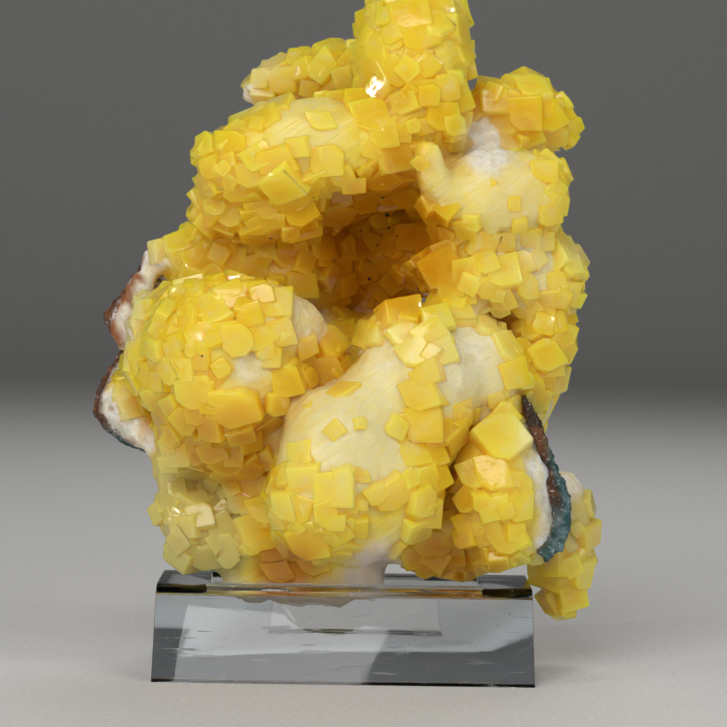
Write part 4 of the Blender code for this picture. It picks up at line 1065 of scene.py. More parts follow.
def growth_colour_group(colours):
    """The growth's colour and how chalky it is, from what is painted on it and some noise, with painted shade
    as a warmer, darker amber in the hollows and under the fingers and as darker patches in the chalk's pits.
    The inputs are how strong the crystal's own tint, the haze and the painted pallor and chalk are, and how
    near the crystal's edge and its core a place is."""
    tree, given, result = new_group("growth_colour", "ShaderNodeTree", {
        "Tint": 0.7, "Haze": 0.3, "Pallor": 1.0, "Chalk": 1.0, "Edge": 0.0, "Core": 0.0,
    }, {"Color": "Color", "Chalky": "Float"})
    place = object_place(tree)
    drift = noisy(tree, place, 130.0, 3.0)
    cloud = noisy(tree, place, 420.0, 4.0)
    tint, warmth, lilac = (painted(tree, name) for name in ("tint", "warmth", "lilac"))
    deep = calculate(tree, "ADD", calculate(tree, "MULTIPLY", tint, given["Tint"]),
                     spread(tree, drift, 0.35, 0.7, -0.1, 0.4))
    deep = calculate(tree, "ADD", deep, given["Core"])
    shade = mix(tree, deep, colours.lemon, colours.gold)
    # Painted shade: the painted warmth turns the colour towards the darker amber in hollows and under the
    # fingers.
    warm_shade = calculate(tree, "MULTIPLY_ADD", warmth, 1.1, spread(tree, drift, 0.5, 0.8, -0.08, 0.1))
    shade = mix(tree, warm_shade, shade, colours.amber_and_shade)
    haze = calculate(tree, "MULTIPLY", spread(tree, cloud, 0.42, 0.72), given["Haze"])
    pale = calculate(tree, "MULTIPLY_ADD", painted(tree, "pallor"), given["Pallor"], haze)
    pale = calculate(tree, "SUBTRACT", pale, calculate(tree, "MULTIPLY", warmth, 0.5))
    shade = mix(tree, pale, shade, colours.cream)
    rim = calculate(tree, "MULTIPLY_ADD", painted(tree, "worn"), 0.15,
                    calculate(tree, "MULTIPLY", given["Edge"], 0.5))
    rim = calculate(tree, "MULTIPLY", rim, spread(tree, warmth, 0.0, 1.0, 1.0, 0.1))
    shade = mix(tree, rim, shade, mix(tree, spread(tree, tint, 0.3, 0.6), colours.lemon, colours.gold))
    shade = mix(tree, painted(tree, "frost"), shade, colours.frost)
    patchy = calculate(tree, "MULTIPLY", spread(tree, cloud, 0.35, 0.6, 0.75, 1.0), given["Chalk"])
    shade = mix(tree, calculate(tree, "MULTIPLY", lilac, patchy), shade, colours.lilac)
    chalk = calculate(tree, "MULTIPLY", painted(tree, "chalk"), patchy)
    # Painted shade: darker patches in the chalk stand for the shade in its pits.
    pit_shade = spread(tree, grain_node(tree, 520.0, 0.15)["Mask"], 0.05, 0.45, 0.3, 0.0)
    shade = mix(tree, chalk, shade, mix(tree, pit_shade, colours.chalk, colours.pits))
    rusty = calculate(tree, "MULTIPLY", painted(tree, "rust"), spread(tree, cloud, 0.3, 0.45, 0.6, 1.0))
    send(tree, result, {
        "Color": mix(tree, rusty, shade, colours.rust),
        "Chalky": calculate(tree, "MULTIPLY_ADD", lilac, 0.6, chalk),
    })
    return tree


def facet_group():
    """How near a place on a crystal's face is to the face's edge, from 0 to 1, its cloudiness, and the height
    of its growth steps."""
    tree, _, result = new_group("facet", "ShaderNodeTree", {}, {
        "Edge": "Float", "Cloud": "Float", "Steps": "Float",
    })
    own = add_node(tree, "ShaderNodeAttribute", attribute_name="own").outputs["Vector"]
    away = add_node(tree, "ShaderNodeVectorMath", {0: own}, operation="ABSOLUTE").outputs[0]
    parts = add_node(tree, "ShaderNodeSeparateXYZ", {0: away}).outputs
    x, y, z = (calculate(tree, "MULTIPLY", part, 2.15, clamped=False) for part in parts)
    high = calculate(tree, "MAXIMUM", x, y, clamped=False)
    second = calculate(tree, "MAXIMUM", calculate(tree, "MINIMUM", x, y, clamped=False),
                       calculate(tree, "MINIMUM", high, z, clamped=False), clamped=False)
    edge = add_node(tree, "ShaderNodeMapRange", {"Value": second, "From Min": 0.35, "From Max": 1.05},
                    interpolation_type="SMOOTHSTEP").outputs[0]
    which = {"W": calculate(tree, "MULTIPLY", painted(tree, "tint"), 40.0, clamped=False)}
    cloud = noisy(tree, own, 1.6, 3.0, which | {"Distortion": 0.6}, noise_dimensions="4D")
    stretched = add_node(tree, "ShaderNodeVectorMath", {0: own, 1: (2.0, 14.0, 9.0)}, operation="MULTIPLY")
    steps = noisy(tree, stretched.outputs[0], 1.0, 1.0, which, noise_dimensions="4D")
    send(tree, result, {"Edge": edge, "Cloud": cloud, "Steps": steps})
    return tree


def grain_group():
    """Fine grain for rough surfaces: a mask and a height, from a scale and a contrast."""
    tree, given, result = new_group("grain", "ShaderNodeTree", {"Scale": 600.0, "Contrast": 0.5},
                                    {"Mask": "Float", "Height": "Float"})
    place = object_place(tree)
    rough = noisy(tree, place, given["Scale"], 8.0, {"Roughness": 0.65})
    cells = add_node(tree, "ShaderNodeTexVoronoi", {"Vector": place, "Scale": given["Scale"]})
    low = calculate(tree, "SUBTRACT", 0.65, given["Contrast"], clamped=False)
    high = calculate(tree, "ADD", 0.35, given["Contrast"], clamped=False)
    height = calculate(tree, "MULTIPLY_ADD", cells.outputs["Distance"], 0.4, rough)
    send(tree, result, {"Mask": spread(tree, rough, low, high), "Height": height})
    return tree


def new_material(name):
    """A material with its tree and its Principled shader."""
    made = bpy.data.materials.new(name)
    made.use_nodes = True
    return made, made.node_tree, made.node_tree.nodes["Principled BSDF"]


def grain_node(tree, scale, contrast):
    """The outcomes of the shared grain at a scale and a contrast."""
    group = bpy.data.node_groups.get("grain") or grain_group()
    inputs = {"Scale": scale, "Contrast": contrast}
    return add_node(tree, "ShaderNodeGroup", node_tree=group, inputs=inputs).outputs


def growth_node(tree, colours, inputs):
    """The outcomes of the shared colour of the growth."""
    group = bpy.data.node_groups.get("growth_colour") or growth_colour_group(colours)
    return add_node(tree, "ShaderNodeGroup", node_tree=group, inputs=inputs).outputs


def raised(tree, height, strength, distance):
    """The normal of a surface with this height, for a distance in millimetres."""
    inputs = {"Height": height, "Strength": strength, "Distance": distance * MM}
    return add_node(tree, "ShaderNodeBump", inputs).outputs["Normal"]


def heulandite(colours):
    """Cloudy golden crystal that light soaks into, with glossy, finely stepped faces."""
    made, tree, shader = new_material("heulandite")
    facet = add_node(tree, "ShaderNodeGroup", node_tree=facet_group()).outputs
    growth = growth_node(tree, colours, {
        "Tint": 0.6, "Haze": spread(tree, facet["Cloud"], 0.4, 0.7, 0.0, 0.6), "Pallor": 0.3, "Chalk": 0.4,
        "Edge": facet["Edge"], "Core": spread(tree, facet["Edge"], 0.0, 0.6, 0.16, 0.0),
    })
    grain = grain_node(tree, 900.0, 0.3)
    height = calculate(tree, "MULTIPLY_ADD", facet["Steps"], 0.7, grain["Height"])
    gloss = spread(tree, grain["Mask"], 0.0, 1.0, 0.03, 0.14)
    feed(tree, shader, {
        "Base Color": growth["Color"],
        "Roughness": calculate(tree, "MULTIPLY_ADD", growth["Chalky"], 0.5, gloss),
        "Normal": raised(tree, height, 0.5, 0.25), "IOR": 1.52,
        "Subsurface Weight": 0.92, "Subsurface Radius": (1.0, 0.68, 0.2), "Subsurface Scale": 11.0 * MM,
    })
    return made


def mordenite(colours):
    """The pale, finely fibrous fingers, satin where they are bare."""
    made, tree, shader = new_material("mordenite")
    fan = add_node(tree, "ShaderNodeMapping", {
        "Vector": object_place(tree), "Rotation": (0.0, -0.6, 0.0), "Scale": (11 * MM, 2 * MM, 0.8 * MM),
    }, vector_type="TEXTURE").outputs[0]
    fibres = noisy(tree, fan, 1.0, 3.0, {"Distortion": 0.4})
    growth = growth_node(tree, colours, {
        "Tint": 0.0, "Haze": spread(tree, fibres, 0.4, 0.62, 0.12, 0.45),
        "Pallor": spread(tree, fibres, 0.35, 0.5, 0.75, 0.95),
    })
    grain = grain_node(tree, 480.0, 0.4)
    rugged = calculate(tree, "MULTIPLY_ADD", growth["Chalky"], 1.6, 0.3, clamped=False)
    height = calculate(tree, "MULTIPLY", grain["Height"], rugged)
    height = calculate(tree, "MULTIPLY_ADD", fibres, 0.6, height)
    satin = spread(tree, grain["Mask"], 0.0, 1.0, 0.24, 0.45)
    feed(tree, shader, {
        "Base Color": growth["Color"],
        "Roughness": calculate(tree, "MULTIPLY_ADD", growth["Chalky"], 0.35, satin),
        "Normal": raised(tree, height, 0.6, 0.8), "IOR": 1.5,
        "Subsurface Weight": 0.8, "Subsurface Radius": (1.0, 0.75, 0.4), "Subsurface Scale": 3.0 * MM,
    })
    return made


def basalt(colours):
    """Dark brown and reddish rock, with a mottled blue-green skin, a rusty rim and white chalk where they are
    painted, and painted shade in the chalk's pits."""
    made, tree, shader = new_material("basalt")
    coarse = grain_node(tree, 420.0, 0.38)
    fine = grain_node(tree, 1300.0, 0.3)
    patches = noisy(tree, object_place(tree), 210.0, 2.0)
    mottled = spread(tree, coarse["Mask"], 0.3, 0.7)
    shade = mix(tree, spread(tree, patches, 0.45, 0.62, 0.0, 0.45), colours.basalt, colours.rust)
    bluish = mix(tree, mottled, colours.celadonite, colours.slate)
    bluish = mix(tree, spread(tree, patches, 0.58, 0.64), bluish, colours.moss)
    stained = mix(tree, mottled, colours.rust, colours.basalt)
    # Painted shade: the chalk takes darker patches for the shade in its pits.
    pale = mix(tree, spread(tree, coarse["Mask"], 0.1, 0.5, 0.6, 0.0), colours.chalk, colours.pits)
    pale = mix(tree, spread(tree, fine["Height"], 0.75, 0.8, 0.0, 0.9), pale, colours.rust)
    for name, worn, skin in (
        ("celadonite", spread(tree, coarse["Height"], 0.2, 0.4), bluish),
        ("rust", spread(tree, fine["Mask"], 0.2, 0.7, 0.2, 1.0), stained),
        ("chalk", spread(tree, coarse["Height"], 0.25, 0.4), pale),
    ):
        shade = mix(tree, calculate(tree, "MULTIPLY", painted(tree, name), worn), shade, skin)
    shade = mix(tree, spread(tree, fine["Mask"], 0.75, 1.0, 0.0, 0.55), shade, colours.dust)
    feed(tree, shader, {
        "Base Color": shade, "Roughness": spread(tree, fine["Mask"], 0.0, 1.0, 0.45, 0.9),
        "Normal": raised(tree, fine["Height"], 0.8, 0.6),
    })
    return made


def acrylic(colours):
    """The riser's clear sheet, with fine scratches and a dull film in places."""
    made, tree, shader = new_material("clear_acrylic")
    stretched = add_node(tree, "ShaderNodeMapping", {
        "Vector": object_place(tree), "Rotation": (0.3, 0.2, 0.7), "Scale": (90.0, 900.0, 900.0),
    }).outputs[0]
    scratches = noisy(tree, stretched, 1.0, 2.0)
    lines = spread(tree, scratches, 0.66, 0.7, 0.0, 0.28)
    dull = spread(tree, grain_node(tree, 70.0, 0.3)["Mask"], 0.5, 1.0, 0.02, 0.1)
    feed(tree, shader, {
        "Base Color": (*colours.acrylic, 1.0), "Roughness": calculate(tree, "ADD", lines, dull),
        "Transmission Weight": 1.0, "IOR": 1.49, "Normal": raised(tree, scratches, 0.03, 0.1),
    })
    return made


def plain(name, value, roughness):
    """A matt material of one colour with a fine grain."""
    made, tree, shader = new_material(name)
    speckled = spread(tree, grain_node(tree, 900.0, 0.4)["Mask"], 0.0, 1.0, 0.0, 0.25)
    feed(tree, shader, {"Base Color": mix(tree, speckled, value, (0, 0, 0)), "Roughness": roughness})
    return made


# ---------------------------------------------------------------- rocks, riser and stage


def place_on_rind(vertex, along, depth, side, clearance):
    """Moves a vertex to its station along the right rind, on its inner or outer side."""
    x, z, thickness = RIGHT_RIND[along]
    before = Vector(RIGHT_RIND[max(along - 1, 0)][:2])
    after = Vector(RIGHT_RIND[min(along + 1, len(RIGHT_RIND) - 1)][:2])
    run = (after - before).normalized()
    outwards = Vector((-run.y, run.x))
    ends = {0: -clearance, len(RIGHT_RIND) - 1: clearance}.get(along, 0.0)
    flat = Vector((x, z)) + outwards * side * (thickness + 2 * clearance) + run * ends
    span = RIGHT_RIND_BACK - RIGHT_RIND_FRONT + 2 * clearance
    uneven = 0.9 * math.sin(2.1 * along) * (1 - depth)
    vertex.co = sight(flat.x, flat.y, RIGHT_RIND_FRONT - clearance + uneven + depth * span)


def right_rind(name, clearance=0.0):
    """The rind down the lower right lobe, or with a clearance the room that it leaves or needs."""
    rows = len(RIGHT_RIND)
    bm = bmesh.new()
    bmesh.ops.create_grid(bm, x_segments=rows - 1, y_segments=4, size=0.5)
    inner = {v: (round((v.co.x + 0.5) * (rows - 1)), v.co.y + 0.5) for v in bm.verts}
    for vertex in new_vertices(bmesh.ops.extrude_face_region(bm, geom=list(bm.faces))):
        along = round((vertex.co.x + 0.5) * (rows - 1))
        place_on_rind(vertex, along, vertex.co.y + 0.5, 0.5, clearance)
    for vertex, (along, depth) in inner.items():
        place_on_rind(vertex, along, depth, -0.5, clearance)
    bmesh.ops.recalc_face_normals(bm, faces=bm.faces)
    return in_workshop(name, bm)


def left_rind(name, clearance=0.0, thickness=LEFT_RIND_THICKNESS):
    """The rind behind the left edges, or with a clearance the room that it leaves or needs."""
    middle = sum((Vector(corner) for corner in LEFT_RIND), Vector((0, 0))) / len(LEFT_RIND)
    bm = bmesh.new()
    bmesh.ops.create_circle(bm, cap_ends=True, segments=len(LEFT_RIND), radius=1.0)
    (face,) = bm.faces
    for vertex, corner in zip(list(face.verts), LEFT_RIND):
        away = Vector(corner) - middle
        x, z = Vector(corner) + away.normalized() * clearance * 3
        vertex.co = sight(x, z, LEFT_RIND_DEPTH - clearance + LEFT_RIND_SLOPE * (x - LEFT_RIND[0][0]))
    back = new_vertices(bmesh.ops.extrude_face_region(bm, geom=[face]))
    bmesh.ops.translate(bm, verts=back, vec=(0, thickness * MM, 0))
    bmesh.ops.triangulate(bm, faces=[f for f in bm.faces if len(f.verts) > 4])
    bmesh.ops.recalc_face_normals(bm, faces=bm.faces)
    return in_workshop(name, bm)


def rough_rock(rock, voxel, relief):
    """Turns a rind into broken rock: small faces, uneven skins and stepped breaks."""
    modify(rock, "grain", "REMESH", mode="VOXEL", voxel_size=voxel)
    settle(rock)
    offsets = []
    for vertex in rock.data.vertices:
        wide = noise.noise(vertex.co * ROCK_SWELL)
        chips = noise.voronoi(vertex.co * ROCK_CHIPS)[0]
        pits = noise.fractal(vertex.co * ROCK_PITS, 0.9, 2.1, 3)
        height = 0.8 * wide + 1.2 * (chips[1] - chips[0]) + 0.45 * pits - 0.6
        offsets.append(vertex.normal * relief * height)
    push(rock.data, offsets)


def paint_rock(mesh, skins):
    """Paints the skins on a rock, each a name with the outcome of a function of the elevation's (x, z) and of
    how much a place faces the front."""
    across, up = elevation(*vertex_values(mesh, "co") / MM)
    front = -vertex_values(mesh, "normal")[1]
    for name, skin in skins.items():
        paint(mesh, name, skin(across, up, front))


def ramp(values, start, end):
    """How far the values have come from the start to the end, from 0 to 1."""
    return np.clip((values - start) / (end - start), 0, 1)


def right_skins():
    """The right rind's skins: celadonite on its outer side and low down, and rust on its inner rim."""
    rows = np.array(RIGHT_RIND)[::-1]

    def outwards(across, up):
        return (across - np.interp(up, rows[:, 1], rows[:, 0])) / np.interp(up, rows[:, 1], rows[:, 2])

    return {
        "celadonite": lambda x, z, front: (
            ramp(outwards(x, z), 0.05, 0.3) * ramp(z, 47, 42) + ramp(z, 33, 29) * 0.9
        ),
        "rust": lambda x, z, front: ramp(outwards(x, z), -0.3, -0.5) * 0.6,
    }


def rim_distance(x, z):
    """How far arrays of places on the elevation lie from the left rind's rim, in millimetres."""
    corners = np.array(LEFT_RIND)
    nearest = np.full(np.shape(x), np.inf)
    for (ax, az), (bx, bz) in zip(corners, np.roll(corners, -1, axis=0)):
        across, up = bx - ax, bz - az
        along = np.clip(((x - ax) * across + (z - az) * up) / (across * across + up * up), 0, 1)
        nearest = np.minimum(nearest, np.hypot(x - ax - along * across, z - az - along * up))
    return nearest


def left_skins():
    """The left rind's skins: white chalk on its front, rust along its rim and celadonite low down."""
    return {
        "celadonite": lambda x, z, front: ramp(z, 49, 46) * ramp(rim_distance(x, z), 2.4, 1.4),
        "rust": lambda x, z, front: ramp(rim_distance(x, z), 2.4, 1.2) * ramp(z, 48, 51) * 0.9,
        "chalk": lambda x, z, front: ramp(front, 0.1, 0.5) * ramp(rim_distance(x, z), 0.9, 1.9),
    }


def box_cutter(name, low, high):
    """A block that fills the box between two corners given in millimetres."""
    bm = bmesh.new()
    bmesh.ops.create_cube(bm, size=1.0)
    for vertex in bm.verts:
        vertex.co = Vector([(a + b) / 2 + (b - a) * c for a, b, c in zip(low, high, vertex.co)]) * MM
    return in_workshop(name, bm)


def riser_section():
    """The middle of the folded sheet as (y, z) in millimetres, from below one foot to below the other."""
    top = RISER_HEIGHT - SHEET / 2
    corner = RISER_TOP_DEPTH / 2 - SHEET / 2 * math.tan(LEG_SLOPE / 2)
    fold = (corner - FOLD_RADIUS * math.tan(LEG_SLOPE / 2), top - FOLD_RADIUS)
    half = [(corner + (top + SHEET) / math.tan(LEG_SLOPE), -SHEET)]
    for step in range(FOLD_STEPS + 1):
        angle = math.pi / 2 - LEG_SLOPE * (1 - step / FOLD_STEPS)
        half.append((fold[0] + FOLD_RADIUS * math.cos(angle), fold[1] + FOLD_RADIUS * math.sin(angle)))
    return [(-y, z) for y, z in half] + [(y, z) for y, z in reversed(half)]


def riser(name, clearance=0.0):
    """The riser folded from one sheet, with its seat window and back window, or the room it needs."""
    bm = bmesh.new()
    left = RISER_MIDDLE - RISER_WIDTH / 2 - clearance
    section = [bm.verts.new(Vector((left, y, z)) * MM) for y, z in riser_section()]
    edges = [bm.edges.new(pair) for pair in zip(section, section[1:])]
    far = new_vertices(bmesh.ops.extrude_edge_only(bm, edges=edges))
    bmesh.ops.translate(bm, vec=((RISER_WIDTH + 2 * clearance) * MM, 0, 0), verts=far)
    bmesh.ops.recalc_face_normals(bm, faces=bm.faces)
    made = in_workshop(name, bm)
    modify(made, "sheet", "SOLIDIFY", thickness=(SHEET + 2 * clearance) * MM, offset=0, use_even_offset=True)
    settle(made)
    half, deep = SEAT_WIDTH / 2 - clearance, SEAT_DEPTH / 2 - clearance
    seat = ((RISER_MIDDLE - half, -deep, RISER_HEIGHT / 2), (RISER_MIDDLE + half, deep, RISER_HEIGHT * 2))
    half = BACK_WINDOW_WIDTH / 2 - clearance
    back = (
        (BACK_WINDOW_MIDDLE - half, SEAT_DEPTH / 2, BACK_WINDOW_SILL),
        (BACK_WINDOW_MIDDLE + half, RISER_WIDTH, BACK_WINDOW_SILL + BACK_WINDOW_HEIGHT),
    )
    ground = ((-RISER_WIDTH, -RISER_WIDTH, -RISER_HEIGHT), (RISER_WIDTH, RISER_WIDTH, 0))
    for title, (low, high) in {"seat_window": seat, "back_window": back, "ground": ground}.items():
        combine(made, box_cutter(f"{name}_{title}", low, high), "DIFFERENCE")
    return made


def polish(sheet, radius):
    """Rounds the sheet's sharp edges, as flame polishing leaves them."""
    modify(sheet, "weld", "WELD", merge_threshold=0.01 * MM)
    modify(sheet, "edge", "BEVEL", width=radius, segments=2, limit_method="ANGLE",
           angle_limit=math.radians(40), harden_normals=False)
    settle(sheet)
    sheet.data.shade_smooth()
    sheet.data.set_sharp_from_angle(angle=SHARP_ANGLE)


def shard(name, rng, stretch):
    """A small broken grain: an uneven twenty-sided chip with a side of about 1."""
    bm = bmesh.new()
    bmesh.ops.create_icosphere(bm, subdivisions=1, radius=0.5)
    for vertex in bm.verts:
        vertex.co *= rng.uniform(*SHARD_SIDES)
        vertex.co.z *= stretch
    return to_mesh(name, bm)


def dust_tree(seed):
    """A geometry node tree that leaves flecks of dust on its mesh, and keeps only the flecks."""
    tree, given, result = new_group("dust", "GeometryNodeTree", {
        "Geometry": "Geometry", "Fleck": "Object", "Side": "Float", "Density": "Float", "Coat": "Material",
    }, {"Geometry": "Geometry"})
    scattered = add_node(tree, "GeometryNodeDistributePointsOnFaces", {
        "Mesh": given["Geometry"], "Density": given["Density"], "Seed": seed,
    }).outputs
    least, most = (calculate(tree, "MULTIPLY", given["Side"], part, clamped=False) for part in DUST_SIDES)
    side = random_value(tree, least, most, seed + 1)
    flecks = laid_on(tree, scattered["Points"], given["Fleck"], scattered["Rotation"], side)
    send(tree, result, {"Geometry": coated(tree, made_real(tree, flecks), given["Coat"])})
    return tree


def cyclorama(side, height, radius):
    """A floor that curves up into a wall behind the object."""
    profile = [(-side, 0.0), (side - radius, 0.0)]
    for step in range(1, 13):
        angle = math.radians(90 * step / 12)
        profile.append((side - radius + radius * math.sin(angle), radius * (1 - math.cos(angle))))
    profile.append((side, height))
    bm = bmesh.new()
    rows = [[bm.verts.new((x, y, z)) for x in (-side, side)] for y, z in profile]
    for near, far in zip(rows, rows[1:]):
        bm.faces.new((near[0], near[1], far[1], far[0]))
    made = new_object("cyclorama", to_mesh("cyclorama", bm))
    made.data.shade_smooth()
    return made


def area_light(name, place, aim, sides, power, mirrored, through):
    """A softbox at a place, aimed at a point, that glossy faces mirror or that shines through the sheet."""
    light = bpy.data.lights.new(name, "AREA")
    light.shape = "RECTANGLE"
    light.size, light.size_y = sides
    light.energy = power
    lamp = new_object(name, light)
    lamp.location = place
    lamp.rotation_euler = (Vector(aim) - Vector(place)).to_track_quat("-Z", "Y").to_euler()
    lamp.visible_glossy = mirrored
    lamp.visible_transmission = through
    return lamp


# ---------------------------------------------------------------- sizes and colours in the panel


def length(name, about, default, least=0.0):
    """A length for the panel, given in millimetres."""
    return FloatProperty(name=name, description=about, default=default * MM, min=least * MM, unit="LENGTH",
                         precision=5)


def fraction(name, about, default, most):
    """A share for the panel."""
    return FloatProperty(name=name, description=about, default=default, min=0.0, max=most, subtype="FACTOR")


def colour(name, about, *default):
    """A colour for the panel."""
    return FloatVectorProperty(name=name, description=about, default=default, min=0, max=1, subtype="COLOR")


def power(name, about, default):
    """A lamp's power for the panel, in watts."""
    return FloatProperty(name=name, description=about, default=default, min=0, unit="POWER")


class ClusterSizes(bpy.types.PropertyGroup):
    """Sizes of the crystals and of the details on the rocks and the riser."""

    rounding: fraction("Crystal Rounding", "Width of the worn edges as a share of a side", 0.05, 0.2)
    companions: fraction("Companions", "Share of the large crystals with a smaller one on them", 0.55, 1.0)
    crust_layers: IntProperty(
        name="Crust Layers", description="Layers of small crystals", default=1, min=1, max=8,
        subtype="UNSIGNED",
    )
    spacing: length("Small Crystal Spacing", "Least distance between the small crystals of a layer", 4.6, 1.0)
    smallest: length("Smallest Crystal", "Side of the smallest crystal of the crust", 2.0)
    largest: length("Largest Small Crystal", "Side of the largest small crystal of the crust", 4.0)
    lumps: length("Finger Lumps", "Height of the low lumps on the bare fingers", 0.45)
    rock_voxel: length("Rock Grain", "Size of the faces on the rinds of rock", 0.45, 0.2)
    rock_relief: length("Rock Relief", "Height of the rinds' roughness", 0.85)
    sheet_rounding: length("Sheet Rounding", "Radius of the riser's polished edges", 0.2)
    dust_side: length("Dust Size", "Side of a fleck of dust on the riser", 0.16)


class ClusterColours(bpy.types.PropertyGroup):
    """Colours of the minerals, the rocks, the riser and the floor."""

    lemon: colour("Lemon", "The lightest heulandite", 0.88, 0.69, 0.07)
    gold: colour("Gold", "The deeper yellow of most crystals", 0.84, 0.55, 0.02)
    # Amber is the crystals' deeper colour and also the painted shade of the hollows and undersides.
    amber_and_shade: colour("Amber", "Crystals deep in the hollows", 0.62, 0.25, 0.004)
    cream: colour("Cream", "Clouded crystals and bare fingers", 0.81, 0.72, 0.38)
    frost: colour("Frosted Crystal", "The pale, greenish crystals low on both sides", 0.64, 0.53, 0.16)
    chalk: colour("Chalk", "The white broken edges", 0.86, 0.82, 0.75)
    # The chalk pits' colour is painted shade: it darkens the chalk in patches as if its pits were in shade.
    pits: colour("Chalk Pits", "The stained hollows of the white edges", 0.42, 0.34, 0.22)
    lilac: colour("Lilac", "The pale foot", 0.74, 0.64, 0.58)
    basalt: colour("Basalt", "The host rock", 0.045, 0.028, 0.02)
    celadonite: colour("Celadonite", "The blue-green skin on the host rock", 0.018, 0.08, 0.08)
    slate: colour("Slate", "The paler grey-blue of that skin", 0.13, 0.2, 0.21)
    moss: colour("Moss", "The green patches of that skin", 0.07, 0.1, 0.015)
    rust: colour("Rust", "The iron-stained rim of the rock", 0.3, 0.1, 0.025)
    acrylic: colour("Acrylic", "The riser's clear sheet", 0.93, 0.97, 1.0)
    dust: colour("Dust", "Flecks and lint on the riser", 0.75, 0.75, 0.72)
    floor: colour("Floor", "The studio's floor and wall", 0.82, 0.81, 0.79)


class ClusterStudio(bpy.types.PropertyGroup):
    """The studio's lights."""

    key_power: power("Key Light", "Power of the softbox above on the left", 2.7)
    fill_power: power("Fill Light", "Power of the softbox on the right", 1.4)
    low_power: power("Low Light", "Power of the softbox in front, near the floor", 1.0)
    back_power: power("Back Light", "Power of the softbox above and behind", 1.4)
    spark_power: power("Spark Light", "Power of each narrow lamp that makes the facets glint", 0.25)
    ambient: FloatProperty(
        name="Ambient", description="Strength of the even light all round", default=0.9, min=0,
        subtype="FACTOR",
    )


# ---------------------------------------------------------------- operators


class GrowCluster(bpy.types.Operator):
    """Grows the crystal cluster on its fingers"""

    bl_idname = "minerals.grow_cluster"
    bl_label = "Grow Cluster"

    def execute(self, context):
        sizes, colours = context.scene.cluster_sizes, context.scene.cluster_colours
        coats = [mordenite(colours), heulandite(colours)]
        body = zeolite_body()
        bare = body.copy()
        bare.data = body.data.copy()
        grown = large_crystals(bare)
        grown = with_companions(grown, sizes.companions) + younger_crystals(bare, grown)
        grown = [(place, cut) for place, cut in grown if smoothness(place.translation) < MOST_CHALK]
        depths = recesses(bare)
        lump(body.data, sizes.lumps, LUMP_SCALE)
        coarsen(body, BODY_FACES)
        body.data.shade_smooth()
        paint_room(body)
        rng = random.Random(SEED + 2)
        small = new_object("small_block", block("small_block", 1, False, SMALL_ROUNDING, rng), workshop())
        grow_through(body, small_crystal_tree(SEED, sizes.crust_layers), {
            "Block": small, "Spacing": sizes.spacing, "Smallest": sizes.smallest, "Largest": sizes.largest,
            "Coat": coats[1],
        })
        blocks = {
            (cut, form): block(f"block_{cut}_{form}", cut, form < TERRACED_FORMS, sizes.rounding, rng)
            for cut in range(max(CUT_CORNERS) + 2) for form in range(BLOCK_FORMS)
        }
        for number, layer in enumerate(layers_apart(grown)):
            combine(body, layer_of_blocks(f"layer_{number}", layer, blocks, rng), "UNION")
        combine(body, riser("room_of_riser", GAP), "DIFFERENCE")
        combine(body, right_rind("room_of_right_rind", -GAP), "DIFFERENCE")
        combine(body, left_rind("room_of_left_rind", -GAP, LEFT_RIND_THICKNESS * 6), "DIFFERENCE")
        keep_largest(body.data)
        paint_growth(body.data, bare, depths)
        wear_coats(body.data, coats, "crystal")
        catch_light(body)
        body.name = "crystal_growth"
        finish_piece(body, "crystal_cluster")
        return {"FINISHED"}


class BreakRocks(bpy.types.Operator):
    """Breaks the two rinds of host rock"""

    bl_idname = "minerals.break_rocks"
    bl_label = "Break Rocks"

    def execute(self, context):
        sizes, colours = context.scene.cluster_sizes, context.scene.cluster_colours
        coat = basalt(colours)
        rinds = {
            "host_rock_right": (right_rind("right_rock"), right_skins()),
            "host_rock_left": (left_rind("left_rock"), left_skins()),
        }
        for node, (rock, skins) in rinds.items():
            rough_rock(rock, sizes.rock_voxel, sizes.rock_relief)
            paint_rock(rock.data, skins)
            wear_coats(rock.data, [coat])
            finish_piece(rock, node)
        return {"FINISHED"}


class SprinkleSpecks(bpy.types.Operator):
    """Sets the small dark grains in the hollow"""

    bl_idname = "minerals.sprinkle_specks"
    bl_label = "Sprinkle Specks"

    def execute(self, context):
        growth = bpy.data.objects["crystal_growth"].data
        skin = skin_of(growth, -HOME)
        rng = random.Random(SEED + 3)
        bm = bmesh.new()
        for number, (x, z, side) in enumerate(SPECKS):
            point, _ = root_on(skin, x, z)
            turn = Euler([rng.uniform(0, 6) for _ in range(3)]).to_matrix().to_4x4()
            before = len(bm.verts)
            bm.from_mesh(shard(f"speck_{number}", rng, 0.8))
            bm.verts.ensure_lookup_table()
            at = Matrix.Translation(point) @ turn @ Matrix.Scale(side * MM, 4)
            bmesh.ops.transform(bm, matrix=at, verts=bm.verts[before:])
        specks = new_object("dark_specks", to_mesh("dark_specks", bm))
        wear_coats(specks.data, [plain("dark_speck", context.scene.cluster_colours.basalt, 0.35)])
        finish_piece(specks, None)
        return {"FINISHED"}


class FoldRiser(bpy.types.Operator):
    """Folds the clear riser and lets a little dust settle on it"""

    bl_idname = "minerals.fold_riser"
    bl_label = "Fold Riser"

    def execute(self, context):
        sizes, colours = context.scene.cluster_sizes, context.scene.cluster_colours
        sheet = riser("clear_riser")
        sheet.data = in_order(sheet.data)
        dust = sheet.copy()
        dust.data = sheet.data.copy()
        dust.name = "riser_dust"
        polish(sheet, sizes.sheet_rounding)
        wear_coats(sheet.data, [acrylic(colours)])
        finish_piece(sheet, "display_stand")
        fleck = new_object("fleck", shard("fleck", random.Random(SEED), 0.3), workshop())
        workshop().objects.link(dust)
        coat = plain("dust", colours.dust, 0.9)
        grow_through(dust, dust_tree(SEED), {
            "Fleck": fleck, "Side": sizes.dust_side, "Density": DUST_DENSITY, "Coat": coat,
        })
        wear_coats(dust.data, [coat])
        finish_piece(dust, None)
        return {"FINISHED"}


